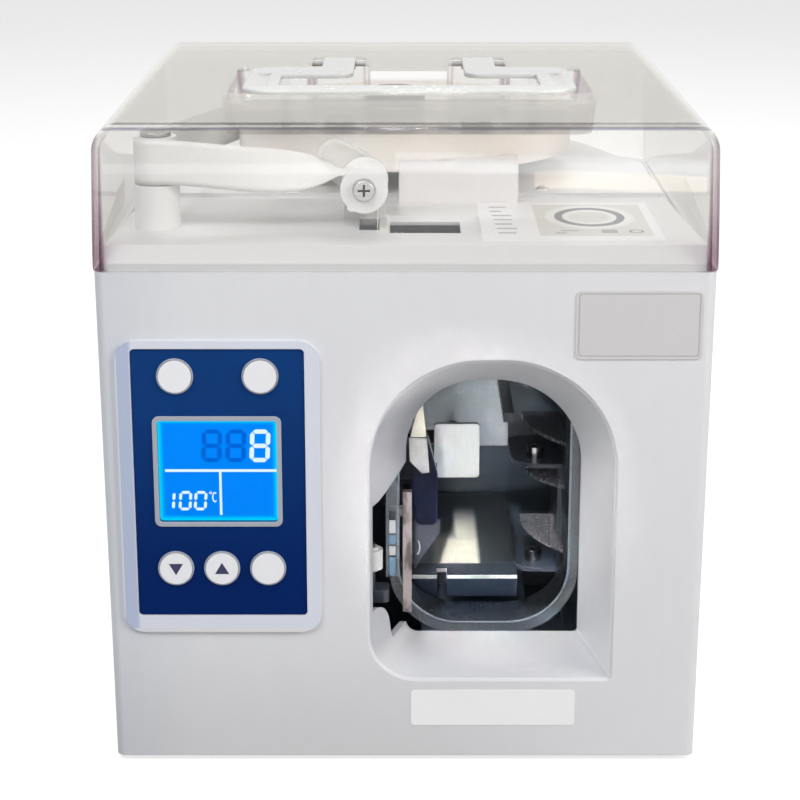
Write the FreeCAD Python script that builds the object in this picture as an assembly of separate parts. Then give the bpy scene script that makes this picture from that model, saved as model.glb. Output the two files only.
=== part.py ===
import FreeCAD, Part
import os
from math import asin, atan2, cos, degrees, pi, radians, sin, sqrt, tan
from FreeCAD import Vector

# Banknote strapping machine, in millimetres. X runs to the right, Y to the back, Z up.
# The origin is on the floor, in the middle of the machine's outer box.

# General clearances
overrun = 20.0          # how far a cutting tool runs past what it cuts
seat_gap = 0.3          # between a piece and its seat
slip_gap = 0.2          # around buttons and slides
run_gap = 0.05          # radial clearance of a shaft in its bore

# Housing
body_width = 270.0
body_height = 232.0
body_front = 145.0      # the front face stands this far in front of the origin
body_draft = 1.5        # each side leans in this much towards the floor
skirt_gap = 3.0         # from the floor to the bottom edge of the walls
wall = 3.0
front_corner_radius = 4.0
rear_corner_radius = 20.0
front_cover_depth = 50.0
rear_cover_depth = 26.0
parting_gap = 0.4

# Feet and base plate
foot_height = 5.0
foot_radius = 11.0
foot_taper = 1.5
foot_inset = 26.0
base_thickness = 2.0

# Control panel and its bezel
bezel_side_gap = 7.7          # from the housing's left side
bezel_width = 89.8
bezel_bottom = 65.0
bezel_top_gap = 30.0          # below the housing's top edge
bezel_radius = 9.5
bezel_proud = 1.5
bezel_border_side = 7.0
bezel_border_top = 4.0
bezel_border_bottom = 8.4
panel_radius = 1.8
panel_thickness = 2.0
panel_recess = 0.8
panel_margin = 1.0

# Display
display_frame_width = 57.0
display_frame_bottom = 50.9   # above the bezel's bottom edge
display_frame_top_gap = 34.6  # below the bezel's top edge
display_frame_radius = 3.0
display_rim = 2.1
display_frame_proud = 0.6
display_frame_shift = 0.9     # the display stands this far left of the panel's middle
window_radius = 1.5
window_thickness = 1.4
module_thickness = 4.0

# Buttons
button_radius = 7.3
ring_radius = 8.1
ring_proud = 0.8
cap_proud = 0.7
button_travel = 0.8
button_flange = 1.4
button_flange_thickness = 1.2
upper_button_drop = 16.2      # below the bezel's top edge
lower_button_height = 31.0    # above the bezel's bottom edge
upper_button_spacing = 37.4
lower_button_spacing = 20.7
switch_radius = 3.0
switch_gap = 1.0
switch_height = 3.2
board_thickness = 1.6
board_margin = 1.0

# Badge plate, notice label and deck label
badge_side_gap = 5.6
badge_width = 55.4
badge_top_gap = 8.1
badge_height = 30.8
badge_radius = 2.7
badge_thickness = 0.4
badge_line = 0.5
badge_line_inset = 1.2
badge_line_depth = 0.2
notice_left = 2.6
notice_width = 75.3
notice_bottom = 18.2
notice_height = 17.6
notice_radius = 2.0
label_thickness = 0.2
deck_label_left = 34.0
deck_label_side_gap = 20.5
deck_label_front = 126.7

# Strapping bay in the front cover
bay_left = 16.5
bay_width = 110.3
bay_bottom = 41.0
bay_top_gap = 40.0            # below the housing's top edge
bay_top_radius = 50.0
bay_corner_radius = 22.0
bay_square_radius = 2.0
bay_depth = 45.0
bay_taper_left = 16.9
bay_taper_right = 11.8
bay_taper_top = 21.0
bay_rise = 5.0
bay_inner_left_radius = 34.0
bay_inner_right_radius = 40.0
bay_inner_corner_radius = 6.0
bay_lip = 1.6
notch_high = 139.8
notch_top = 123.2
notch_shoulder = 72.0
notch_low = 51.0
notch_front_setback = 4.6
notch_curve_shares = {"run": 2.0, "bow": 0.5, "dip": 0.333, "hump": 0.75}

# Top deck
deck_front_gap = 4.0          # from the body's front face to the deck's riser
deck_riser_run = 6.0
deck_height = 10.0            # above the housing's top edge
deck_riser_foot = 3.0
deck_side_gap = 3.5
deck_taper = 6.5
deck_taper_end = 20.0         # the straight sides end this far in front of the origin
deck_curve_gap = 20.0
deck_curve_depth = 66.0
deck_back_side_gap = 47.0
deck_back_gap = 6.0
deck_step_gap = 11.0          # behind the roll's front edge
deck_step = 2.0
deck_wall = 3.0
slot_front = 103.6
slot_side_gap = 2.15
wide_slot_left = 7.0
wide_slot_right = 25.0
tape_slot_left = 20.8
tape_slot_right = 11.8
recess_margin = 5.0
recess_side_margin = 8.0
recess_depth = 1.4
recess_slope = 1.6

# Paper tape
tape_width = 20.0
tape_thickness = 0.4
tape_lead = 1.0
wrap_faces = 3
web_station_shares = (0, 0.25, 0.5, 0.65, 0.78, 0.88, 0.95, 1)
roll_radius = 85.0
roll_back_gap = 6.8           # from the roll to the dust cover's back wall
spindle_boss_height = 9.3
core_radius = 20.0
hub_flange_radius = 60.0
hub_flange_thickness = 2.2
hub_gap = 0.2
hub_short = 0.8
spindle_radius = 6.0
spindle_boss_radius = 14.0
spindle_cap_radius = 9.0
spindle_cap_thickness = 1.0

# Guide post
post_side_gap = 23.0
post_front_gap = 50.0
post_base_radius = 10.4
post_base_height = 20.0
sleeve_radius = 9.3
sleeve_spare = 1.0            # the sleeve is this much longer than the tape is wide
post_pin_radius = 4.0
post_pin_seat = 8.0
post_head_radius = 7.0
post_head_thickness = 1.6

# Guide roller
roller_x = 18.5
roller_lift = 18.3            # above the deck
roller_front_gap = 41.0
roller_flange_radius = 10.7
roller_flange_thickness = 2.2
roller_core_radius = 5.5
roller_nib_width = 3.0
roller_nib_reach = 11.6
roller_nib_angle = 235.0
roller_axle_radius = 3.0
roller_screw_radius = 5.3
roller_screw_thickness = 2.6
roller_screw_top_radius = 4.35
roller_shank_radius = 1.5
roller_shank_length = 9.0
cross_width = 1.2
cross_length = 5.6
cross_depth = 1.4
roller_bracket_width = 19.0
roller_bracket_thickness = 3.0
roller_bracket_foot = 12.0
guard_thickness = 1.5
guard_rim_width = 1.2
guard_rim_depth = 2.0
guard_lobe_radius = 8.5
guard_lobe_x = 13.5
guard_lobe_z = 10.2

# White block in front of the roll
sensor_left = 3.0
sensor_right = 54.0
sensor_reach = 4.0            # in front of the roll's front edge
sensor_depth = 20.0
sensor_height = 20.0
sensor_gap = 0.7

# Deck screws
deck_screw_radius = 3.2
deck_screw_height = 1.4
deck_screw_left = 75.0
deck_screw_right = 67.0
deck_screw_gap = 11.0         # behind the deck's step

# Dust cover
cover_headroom = 2.0          # between the roll and the handle well
cover_side_overhang = 1.0
cover_front_overhang = 0.5
cover_wall = 2.5
cover_lean = 2.6
cover_top_radius = 13.0
cover_front_radius = 3.5
cover_back_radius = 9.0
cover_corner_radius = 7.0
cover_rear_corner_radius = 21.0
well_depth = 16.5
well_side_gap = 6.8           # beside the handle
well_front_gap = 2.1
well_back_gap = 6.0           # behind the handle's ring
well_draft = 2.0
well_corner_radius = 6.0
pocket_side_gap = 5.5
pocket_back_gap = 6.0
pocket_corner_radius = 4.0
dome_x = 5.0                  # left of the middle
dome_y = 13.5
dome_radius = 15.0
dome_height = 9.0
dome_edge_radius = 4.0
rest_width = 4.0              # of the two posts that the handle lies on
rest_reach = 3.0              # into the finger opening
rest_y = 3.5

# Carry handle
handle_x = 2.0
handle_width = 157.0
handle_front = 57.8
handle_back = 25.6
handle_thickness = 2.2
handle_rise = 1.0             # above the cover's top
handle_corner_radius = 14.0
handle_side_width = 16.6
handle_grip_depth = 18.8
finger_depth = 37.0
finger_radius = 2.0
mouth_corner_radius = 9.0
groove_inset = 8.0            # of the hollow in each grip, from the handle's side
groove_round = 8.0
groove_depth = 0.9
groove_end_gap = 3.0          # beyond the finger opening
tab_spacing = 70.7
tab_width = 16.0
barrel_radius = 3.0
handle_pin_y = 60.5
handle_pin_radius = 1.6
handle_pin_seat = 1.2
handle_edge_radius = 0.9

# Cover hinges
knuckle_radius = 3.3
hinge_pin_radius = 1.5
hinge_spacing = 150.0
knuckle_length = 22.0
hinge_side_length = 12.0
hinge_drop = 2.0              # the hinge line lies this far below the housing's top edge
hinge_leaf_height = 15.0
hinge_leaf_thickness = 1.6
hinge_gap = 0.3

# Frame plates, pedestal and beam
plate_thickness = 2.0
left_plate_x = 40.0
right_plate_x = 84.0
side_plate_front = 98.0
side_plate_back = 118.0
beam_drop = 36.0              # below the housing's top edge
beam_thickness = 3.0
beam_front = 20.0
beam_back = 34.0
pedestal_left = 8.0
pedestal_right = 60.0
pedestal_front = 96.0
pedestal_back = 50.0

# Loop track and its liner
track_left = 3.5
track_right = 78.0
track_bottom = 48.5
track_top_gap = 27.0          # below the bay's top
track_front = 98.0
track_back = 69.0
track_wall = 4.0
track_radius = 29.0
liner_thickness = 0.8
liner_margin = 2.0

# Note tray and its posts
tray_right = 55.0
tray_front = 68.0
tray_back = 54.5
tray_top = 62.0
tray_lip_drop = 11.0
tray_notch_left = 15.7
tray_notch_width = 4.9
tray_notch_depth = 9.0
tray_post_width = 20.0
tray_post_depth = 10.0
tray_post_spacing = 70.0

# Back plate with its stepped lower edge
back_plate_y = 55.0
back_plate_right = 56.0
back_plate_step_x = 17.0
back_plate_high = 98.0
back_plate_low = 89.0

# Note stop
stop_x = 26.4
stop_z = 109.3
stop_width = 23.0
stop_height = 28.5
stop_radius = 2.0
stop_front = 16.5
stop_thickness = 3.0
stop_rod_radius = 3.5
stop_rod_drop = 10.0          # below the stop plate's middle
stop_guide_radius = 7.0
stop_guide_length = 23.0
stop_rod_spare = 4.0

# Side rail and press head
rail_left = 50.0
rail_width = 5.5
rail_bottom = 124.0
rail_height = 5.0
rail_front = 15.0
press_left = 30.0
press_width = 16.0
press_front = 10.0
press_depth = 30.0
press_height = 46.0
press_foot_width = 9.0
press_foot_height = 9.0

# Clamp
clamp_left = 1.4
clamp_width = 14.2
clamp_front = 79.0
clamp_depth = 17.0
clamp_bottom = 92.0
clamp_height = 26.0
clamp_lean = 3.9              # left edge moves right by this much towards the foot
clamp_corner_radius = 3.0
clamp_arm_thickness = 3.0
clamp_arm_drop = 22.0
clamp_arm_inset = 0.8
clamp_arm_foot_inset = 3.8
clamp_arm_knee = 16.3
clamp_arm_shoulder = 3.5
clamp_arm_reach = 1.3
clamp_arm_radius = 2.0
clamp_cheek_height = 18.5
clamp_cheek_width = 9.3
clamp_cheek_depth = 6.0
clamp_tip_inset = 1.1
clamp_tip_width = 7.6
clamp_tip_height = 16.0
clamp_tip_leans = 3.6, 1.6
clamp_tip_radius = 1.2
slide_bar_height = 12.0
slide_bar_depth = 5.0
slide_bar_bottom = 6.0
clamp_travel = 10.0
clamp_guide_grip = 10.0       # the bar stays this far in its guide
clamp_guide_border = 4.0

# Sealing bar in front of the loop track
sealing_width = 4.2
sealing_depth = 4.0
sealing_bottom = 57.6
sealing_height = 60.0
sealing_setback = 2.3
sealing_foot_height = 4.0
sealing_foot_drop = 8.0
sealing_gap = 1.9

# Tape chute, idler roller and feeder bracket
chute_left = 9.0
chute_width = 6.0
chute_depth = 8.0
chute_wall = 1.2
chute_bottom = 76.0
chute_height = 46.0
idler_x = 15.5
idler_y = 108.0
idler_radius = 5.0
idler_bottom = 81.5
idler_height = 9.5
idler_pin_radius = 1.5
idler_pin_bottom = 66.0
idler_collar_radius = 3.0
idler_collar_height = 1.2
feeder_bracket_depth = 11.0
feeder_bracket_height = 6.0
feeder_bracket_reach = 8.0

# Fins and their carrier
fin_tip_reach = 19.0
fin_back = 16.0
fin_front = 68.0
fin_thickness = 1.8
fin_heights = (73.3, 102.5, 128.3)
fin_length_shares = (1.0, 0.78, 1.0)
fin_bulge_shares = (0.68, 0.62)
carrier_left = 78.0
carrier_front = 68.4
carrier_back = 8.0
carrier_bottom = 60.0
carrier_top = 142.0

# Lobed bracket with its nuts
lobe_reach = 25.0
lobe_front = 43.0
lobe_back = 5.0
lobe_thickness = 2.2
lobe_corner_radius = 9.0
lobe_front_radius = 13.75
lobe_upper = 108.8
lobe_lower = 54.0
lobe_web = 2.0
nut_y = 30.0
nut_inset = 12.8
nut_radius = 4.3
nut_height = 5.5
nut_bore = 1.6

# Tape feed under the deck
feed_drop = 10.0              # below the housing's top edge
feed_drum_radius = 8.0
feed_drum_short = 1.0
pinch_radius = 6.0
feed_plate_height = 26.0
feed_plate_thickness = 2.0
feed_plate_right = 14.0
feed_plate_gap = 0.6
feed_shaft_radius = 2.5
pinch_shaft_radius = 2.0
gear_module = 1.0
gear_teeth = 24
pinion_teeth = 12
gear_width = 5.0
gear_gap = 1.0
gear_angle = 205.0
tooth_shares = {"addendum": 0.85, "dedendum": 1.2, "root": 0.30, "tip": 0.12}
motor_radius = 13.0
motor_length = 38.0
motor_shaft_radius = 1.5
motor_gap = 2.0
motor_saddle_thickness = 3.0

# Boards and power
supply_side_gap = 13.0
supply_plate_gap = 10.0
supply_front = 20.0
supply_depth = 88.0
supply_height = 62.0
main_board_front = 55.0
main_board_depth = 140.0
main_board_bottom = 92.0
main_board_top_gap = 30.0
main_board_gap = 8.0
spacer_radius = 3.0
spacer_inset = 8.0

# Power inlet and switch in the rear cover
inlet_side_gap = 47.0
inlet_z = 36.0
inlet_width = 30.0
inlet_height = 22.0
inlet_flange = 9.0
inlet_flange_end = 3.0
inlet_depth = 20.0
inlet_flange_thickness = 2.0
socket_width = 24.0
socket_height = 16.5
socket_depth = 16.0
prong_width = 4.0
prong_thickness = 2.0
prong_length = 11.0
prong_spacing = 7.0
prong_offset = 3.0
switch_pitch = 48.0           # from the inlet
rocker_width = 13.0
rocker_height = 19.0
rocker_depth = 7.0
rocker_tilt = 12.0
rocker_pin_radius = 1.2
switch_border = 3.0
switch_depth = 16.0
vent_count = 9
vent_width = 3.2
vent_height = 52.0
vent_pitch = 9.0
vent_bottom = 92.0
housing_screw_radius = 3.6
housing_screw_height = 1.6
rear_screw_inset = 30.0
rear_screw_low = 16.0
rear_screw_drop = 32.0

# Places worked out from the sizes above
half_width = body_width / 2
bezel_height = body_height - bezel_top_gap - bezel_bottom
bay_top = body_height - bay_top_gap
track_top = bay_top - track_top_gap
beam_height = body_height - beam_drop
press_bottom = beam_height - press_height
feed_z = body_height - feed_drop
main_board_height = body_height - main_board_top_gap - main_board_bottom
front_y = -body_front
reach_y = body_front + bezel_proud + cap_proud
hinge_y = reach_y - knuckle_radius
body_back = hinge_y - knuckle_radius - hinge_gap
cover_back = body_back + cover_side_overhang
hinge_z = body_height - hinge_drop
cover_bottom = body_height + seat_gap
base_top = foot_height + base_thickness
deck_top = body_height + deck_height
deck_low = body_height - deck_wall
rear_deck_top = deck_top + deck_step
bezel_x0 = -half_width + bezel_side_gap
bezel_x1 = bezel_x0 + bezel_width
bezel_z1 = bezel_bottom + bezel_height
panel_x0 = bezel_x0 + bezel_border_side
panel_x1 = bezel_x1 - bezel_border_side
panel_z0 = bezel_bottom + bezel_border_bottom
panel_z1 = bezel_z1 - bezel_border_top
panel_face = front_y - bezel_proud + panel_recess
panel_rear = panel_face + panel_thickness
panel_middle = (panel_x0 + panel_x1) / 2
board_face = panel_rear + button_flange_thickness + button_travel + switch_gap + switch_height
cover_half = half_width + cover_side_overhang
cover_front = front_y - cover_front_overhang
roll_y = cover_back - cover_wall - roll_back_gap - roll_radius
roll_front_y = roll_y - roll_radius
roll_bottom = rear_deck_top + spindle_boss_height + seat_gap + hub_flange_thickness + hub_gap
cover_top = roll_bottom + tape_width + cover_headroom + cover_wall + well_depth
well_floor = cover_top - well_depth
deck_step_y = roll_front_y + deck_step_gap
sensor_front_y = roll_front_y - sensor_reach
sensor_back_y = sensor_front_y + sensor_depth
slot_depth = tape_width + 2 * slot_side_gap
slot_front_y = -slot_front
slot_back_y = slot_front_y + slot_depth
tape_y = slot_front_y + slot_depth / 2
roller_z = deck_top + roller_lift
roller_front_y = front_y + roller_front_gap
roller_core_length = tape_width + 2 * slip_gap + seat_gap
roller_back = roller_front_y + roller_core_length + 2 * roller_flange_thickness
guard_front = roller_back + seat_gap
bracket_front = guard_front + guard_thickness
bracket_back = bracket_front + roller_bracket_thickness
well_width = handle_width + 2 * well_side_gap
well_front = handle_front + well_front_gap
well_back = handle_back + well_back_gap
pocket_width = tab_width + 2 * pocket_side_gap
handle_mouth_width = tab_spacing - tab_width
pocket_back = handle_pin_y + barrel_radius + pocket_back_gap
finger_width = handle_width - 2 * handle_side_width
finger_front = handle_front - handle_grip_depth
finger_back = finger_depth - finger_front
handle_top = cover_top + handle_rise
handle_bottom = handle_top - handle_thickness
handle_pin_z = handle_top - barrel_radius
post_top = deck_top + post_base_height
sleeve_bottom = post_top + seat_gap
sleeve_height = tape_width + sleeve_spare
sleeve_top = sleeve_bottom + sleeve_height
roll_centre = Vector(0, roll_y, 0)
post_x = half_width - post_side_gap
post_centre = Vector(-post_x, front_y + post_front_gap, 0)
tape_drop_x = -roller_x + roller_core_radius + seat_gap
pedestal_top = track_bottom - track_wall
stop_back = -stop_front + stop_thickness
stop_rod_z = stop_z - stop_rod_drop
feed_x = tape_drop_x + tape_thickness + seat_gap + feed_drum_radius
pinch_x = tape_drop_x - seat_gap - pinch_radius
wrap_radius = sleeve_radius + seat_gap
feed_drum_length = tape_width - feed_drum_short
badge_x1 = half_width - badge_side_gap
badge_z1 = body_height - badge_top_gap
supply_left = half_width - supply_side_gap
inlet_x = half_width - inlet_side_gap
switch_x = inlet_x - switch_pitch


def block(x0, x1, y0, y1, z0, z1):
    """Box between two corners."""
    return Part.makeBox(x1 - x0, y1 - y0, z1 - z0, Vector(x0, y0, z0))


def rod(radius, start, end):
    """Round bar between two points."""
    axis = end - start
    return Part.makeCylinder(radius, axis.Length, start, axis)


def tube(outer, inner, start, end):
    """Round tube between two points."""
    return rod(outer, start, end).cut(rod(inner, start, end))


def cone_z(low_radius, high_radius, x, y, z0, z1):
    """Upright cone."""
    return Part.makeCone(low_radius, high_radius, z1 - z0, Vector(x, y, z0))


def rounded_wire(points, radii):
    """Closed outline through the corners, each rounded by its own radius (0 leaves it sharp)."""
    stretches = []
    count = len(points)
    for index, radius in enumerate(radii):
        corner = points[index]
        before = (points[index - 1] - corner).normalize()
        after = (points[(index + 1) % count] - corner).normalize()
        if radius == 0:
            stretches.append((corner, corner, corner))
            continue
        half = before.getAngle(after) / 2
        reach = radius / tan(half)
        inward = (before + after).normalize()
        middle = corner + inward * (radius / sin(half) - radius)
        stretches.append((corner + before * reach, middle, corner + after * reach))
    edges = []
    for index, (start, middle, end) in enumerate(stretches):
        if (end - start).Length > Part.Vertex(start).Tolerance:
            edges.append(Part.Arc(start, middle, end).toShape())
        following = stretches[(index + 1) % count][0]
        if (following - end).Length > Part.Vertex(end).Tolerance:
            edges.append(Part.LineSegment(end, following).toShape())
    return Part.Wire(edges)


def prism(wire, direction):
    """Outline swept along a straight direction."""
    return Part.Face(wire).extrude(direction)


def plan_points(x0, x1, y0, y1, z):
    """Corners of a rectangle seen from above, from the front left round to the back left."""
    return [Vector(x0, y0, z), Vector(x1, y0, z), Vector(x1, y1, z), Vector(x0, y1, z)]


def plan_prism(x0, x1, y0, y1, z0, z1, radii):
    """Upright prism on a rounded rectangle."""
    return prism(rounded_wire(plan_points(x0, x1, y0, y1, z0), radii), Vector(0, 0, z1 - z0))


def face_points(x0, x1, z0, z1, y):
    """Corners of a rectangle seen from the front, from the lower left round to the upper left."""
    return [Vector(x0, y, z0), Vector(x1, y, z0), Vector(x1, y, z1), Vector(x0, y, z1)]


def face_prism(x0, x1, z0, z1, y0, y1, radii):
    """Prism through a front face on a rounded rectangle."""
    return prism(rounded_wire(face_points(x0, x1, z0, z1, y0), radii), Vector(0, y1 - y0, 0))


def loft(wires):
    """Ruled solid through outlines with the same corners."""
    return Part.makeLoft(wires, True, True)


def join(shapes):
    """Union of touching shapes, tidied to one solid where it can be."""
    result = shapes[0].multiFuse(shapes[1:])
    return result.removeSplitter()


def save(name, shape):
    """Write one node."""
    shape.exportStep("parts/" + name + ".step")


def save_group(name, shapes):
    """Write one node of separate solids."""
    save(name, Part.makeCompound(shapes))


# Housing

def body_half_width(z):
    """Half the housing's width at a height, with the sides' draft."""
    return half_width - body_draft * (body_height - z) / (body_height - skirt_gap)


def body_wire(inset, z):
    """Outline of the housing at a height, moved in by an inset."""
    half = body_half_width(z) - inset
    front_radius = max(front_corner_radius - inset, front_corner_radius / 4)
    rear_radius = rear_corner_radius - inset
    radii = [front_radius, front_radius, rear_radius, rear_radius]
    return rounded_wire(plan_points(-half, half, front_y + inset, body_back - inset, z), radii)


def housing_walls():
    """All four walls as one hollow form, open at the top and bottom."""
    outer = loft([body_wire(0, skirt_gap), body_wire(0, body_height)])
    inner = loft([body_wire(wall, skirt_gap - overrun), body_wire(wall, body_height + overrun)])
    return outer.cut(inner)


def bay_wire(grow, depth_share, y):
    """Arch of the bay at a share of its depth, grown outwards."""
    x0 = -bay_left + bay_taper_left * depth_share - grow
    x1 = -bay_left + bay_width - bay_taper_right * depth_share + grow
    z0 = bay_bottom + bay_rise * depth_share - grow
    z1 = bay_top - bay_taper_top * depth_share + grow
    arch_right = bay_top_radius + (bay_inner_right_radius - bay_top_radius) * depth_share + grow
    arch_left = bay_top_radius + (bay_inner_left_radius - bay_top_radius) * depth_share + grow
    left = bay_corner_radius + (bay_inner_corner_radius - bay_corner_radius) * depth_share + grow
    corners = face_points(x0, x1, z0, z1, y)
    return rounded_wire(corners, [left, bay_square_radius + grow, arch_right, arch_left])


def bay_void():
    """Space of the bay's funnel, with the flared lip at the front face."""
    inner_y = front_y + bay_depth
    lip_share = bay_lip / bay_depth
    funnel = loft([bay_wire(0, lip_share, front_y + bay_lip), bay_wire(0, 1, inner_y)])
    lip = loft([bay_wire(bay_lip / 2, 0, front_y), bay_wire(0, lip_share, front_y + bay_lip)])
    ahead = prism(bay_wire(bay_lip / 2, 0, front_y), Vector(0, -overrun, 0))
    behind = prism(bay_wire(0, 1, inner_y), Vector(0, overrun, 0))
    return [funnel, lip, ahead, behind]


def bay_notch():
    """Cut through the funnel's left wall, open at its inner edge."""
    inner_y = front_y + bay_depth
    front = front_y + notch_front_setback
    rise = notch_high - notch_top
    drop = notch_shoulder - notch_low
    bend_y = inner_y - rise * notch_curve_shares["run"]
    bow = Vector(0, inner_y - rise * notch_curve_shares["bow"], notch_top + rise * notch_curve_shares["dip"])
    top = Part.Arc(Vector(0, inner_y + overrun, notch_high), bow, Vector(0, bend_y, notch_top)).toShape()
    lead = Part.LineSegment(Vector(0, bend_y, notch_top), Vector(0, front, notch_top)).toShape()
    side = Part.LineSegment(Vector(0, front, notch_top), Vector(0, front, notch_shoulder)).toShape()
    swell = notch_curve_shares["hump"]
    hump = Part.Arc(Vector(0, front, notch_shoulder),
                    Vector(0, front + drop * swell, notch_shoulder - drop * (1 - swell)),
                    Vector(0, front + drop, notch_low)).toShape()
    foot = Part.LineSegment(Vector(0, front + drop, notch_low),
                            Vector(0, inner_y + overrun, notch_low)).toShape()
    shut = Part.LineSegment(Vector(0, inner_y + overrun, notch_low),
                            Vector(0, inner_y + overrun, notch_high)).toShape()
    outline = Part.Wire([top, lead, side, hump, foot, shut])
    outline.translate(Vector(-bay_left - wall - overrun, 0, 0))
    return prism(outline, Vector(overrun + wall + bay_taper_left + wall, 0, 0))


def front_cover():
    """Front wall with its side returns, the bay's funnel and the panel's window."""
    split = front_y + front_cover_depth
    ahead = block(-body_width, body_width, front_y - overrun, split, 0, body_height + overrun)
    shell = housing_walls().common(ahead)
    funnel = loft([bay_wire(wall, 0, front_y), bay_wire(wall, 1, front_y + bay_depth)])
    window = face_prism(panel_x0 - panel_margin, panel_x1 + panel_margin, panel_z0 - panel_margin,
                        panel_z1 + panel_margin, front_y - overrun, front_y + wall + overrun,
                        [panel_radius + panel_margin] * 4)
    cover = shell.fuse(funnel)
    for space in bay_void():
        cover = cover.cut(space)
    cover = cover.cut(window).fuse(panel_bezel())
    return cover.cut(bay_notch()).removeSplitter()


def side_cover(side):
    """One flat side wall."""
    front = front_y + front_cover_depth + parting_gap
    back = body_back - rear_cover_depth
    x0, x1 = sorted((side * half_width / 2, side * body_width))
    return housing_walls().common(block(x0, x1, front, back, 0, body_height + overrun))


def vent_slots():
    """Row of upright vent slots through the rear wall."""
    slots = []
    for index in range(vent_count):
        x = (index - (vent_count - 1) / 2) * vent_pitch
        slots.append(face_prism(x - vent_width / 2, x + vent_width / 2, vent_bottom,
                                vent_bottom + vent_height,
                                body_back - wall - overrun, body_back + overrun,
                                [vent_width / 2 - run_gap] * 4))
    return slots


def rear_cover():
    """Rear wall with round corners, vents, and the windows for the inlet and the switch."""
    front = body_back - rear_cover_depth + parting_gap
    behind = block(-body_width, body_width, front, body_back + overrun, 0, body_height + overrun)
    cover = housing_walls().common(behind)
    y0 = body_back - wall - overrun
    inlet = block(-inlet_x - inlet_width / 2 - slip_gap, -inlet_x + inlet_width / 2 + slip_gap, y0,
                  body_back + overrun, inlet_z - inlet_height / 2 - slip_gap,
                  inlet_z + inlet_height / 2 + slip_gap)
    half_switch = rocker_width / 2 + switch_border / 2 + slip_gap
    tall_switch = rocker_height / 2 + switch_border / 2 + slip_gap
    switch = block(-switch_x - half_switch, -switch_x + half_switch, y0, body_back + overrun,
                   inlet_z - tall_switch, inlet_z + tall_switch)
    return cover.cut(inlet).cut(switch).cut(Part.makeCompound(vent_slots()))


def base_plate():
    """Flat steel floor inside the walls."""
    half = body_half_width(foot_height) - wall - seat_gap
    radius = rear_corner_radius - wall
    return plan_prism(-half, half, front_y + wall + seat_gap, body_back - wall - seat_gap, foot_height,
                      base_top,
                      [front_corner_radius, front_corner_radius, radius, radius])


def rubber_feet():
    """Four round feet under the base plate."""
    feet = []
    for x in (-half_width + foot_inset, half_width - foot_inset):
        for y in (front_y + foot_inset, body_back - foot_inset):
            feet.append(cone_z(foot_radius - foot_taper, foot_radius, x, y, 0, foot_height))
    return feet


# Deck

def deck_wire(inset, riser, z):
    """Outline of the raised deck; the riser value sets its front edge back."""
    half = half_width - deck_side_gap - inset
    waist = half - deck_taper
    front = front_y + deck_front_gap + riser + inset
    waist_y = -deck_taper_end
    curve_x = half_width - deck_curve_gap - inset
    curve_y = deck_curve_depth - inset / 2
    back_x = half_width - deck_back_side_gap - inset / 2
    back = body_back - deck_back_gap - inset
    left_edges = [
        Part.Arc(Vector(-back_x, back, z), Vector(-curve_x, curve_y, z),
                 Vector(-waist, waist_y, z)).toShape(),
        Part.LineSegment(Vector(-waist, waist_y, z), Vector(-half, front, z)).toShape(),
    ]
    right_edges = [
        Part.LineSegment(Vector(half, front, z), Vector(waist, waist_y, z)).toShape(),
        Part.Arc(Vector(waist, waist_y, z), Vector(curve_x, curve_y, z), Vector(back_x, back, z)).toShape(),
    ]
    front_edge = Part.LineSegment(Vector(-half, front, z), Vector(half, front, z)).toShape()
    back_edge = Part.LineSegment(Vector(back_x, back, z), Vector(-back_x, back, z)).toShape()
    return Part.Wire(left_edges + [front_edge] + right_edges + [back_edge])


def deck_recess():
    """Bevelled shallow recess around the wide slot."""
    x0 = -wide_slot_left
    x1 = wide_slot_right + recess_side_margin
    y0 = slot_front_y - recess_margin
    y1 = slot_back_y + recess_margin
    low = deck_top - recess_depth
    slope = recess_slope
    upper = rounded_wire(plan_points(x0 - slope, x1 + slope, y0 - slope, y1 + slope, deck_top), [0, 0, 0, 0])
    lower = rounded_wire(plan_points(x0, x1, y0, y1, low), [0, 0, 0, 0])
    return loft([lower, upper])


def top_deck():
    """Flange inside the walls with the raised, stepped and slotted platform."""
    flange = plan_prism(-half_width + wall + seat_gap, half_width - wall - seat_gap,
                        front_y + wall + seat_gap,
                        body_back - wall - seat_gap, deck_low, body_height,
                        [front_corner_radius, front_corner_radius, rear_corner_radius - wall,
                         rear_corner_radius - wall])
    foot = prism(deck_wire(0, 0, deck_low), Vector(0, 0, deck_wall + deck_riser_foot))
    slope = loft([deck_wire(0, 0, body_height + deck_riser_foot), deck_wire(0, deck_riser_run, deck_top)])
    rear = prism(deck_wire(0, deck_riser_run, deck_top), Vector(0, 0, deck_step))
    rear = rear.common(block(-body_width, body_width, deck_step_y, body_width, deck_top, rear_deck_top))
    hollow = prism(deck_wire(deck_wall, deck_riser_run, deck_low - overrun),
                   Vector(0, 0, overrun + deck_height))
    platform = flange.fuse(foot.fuse(slope)).fuse(rear)
    deck = platform.cut(hollow).cut(deck_recess())
    for x0, x1 in ((-wide_slot_left, wide_slot_right), (-tape_slot_left, -tape_slot_right)):
        deck = deck.cut(block(x0, x1, slot_front_y, slot_back_y, deck_low, deck_top + overrun))
    return deck.removeSplitter()


def deck_screws():
    """Two small screws in the deck."""
    screws = []
    for x in (-deck_screw_left, deck_screw_right):
        y = deck_step_y + deck_screw_gap
        head = cone_z(deck_screw_radius, deck_screw_radius / 2, x, y, rear_deck_top,
                      rear_deck_top + deck_screw_height)
        screws.append(head)
    return screws


# Control panel

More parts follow.
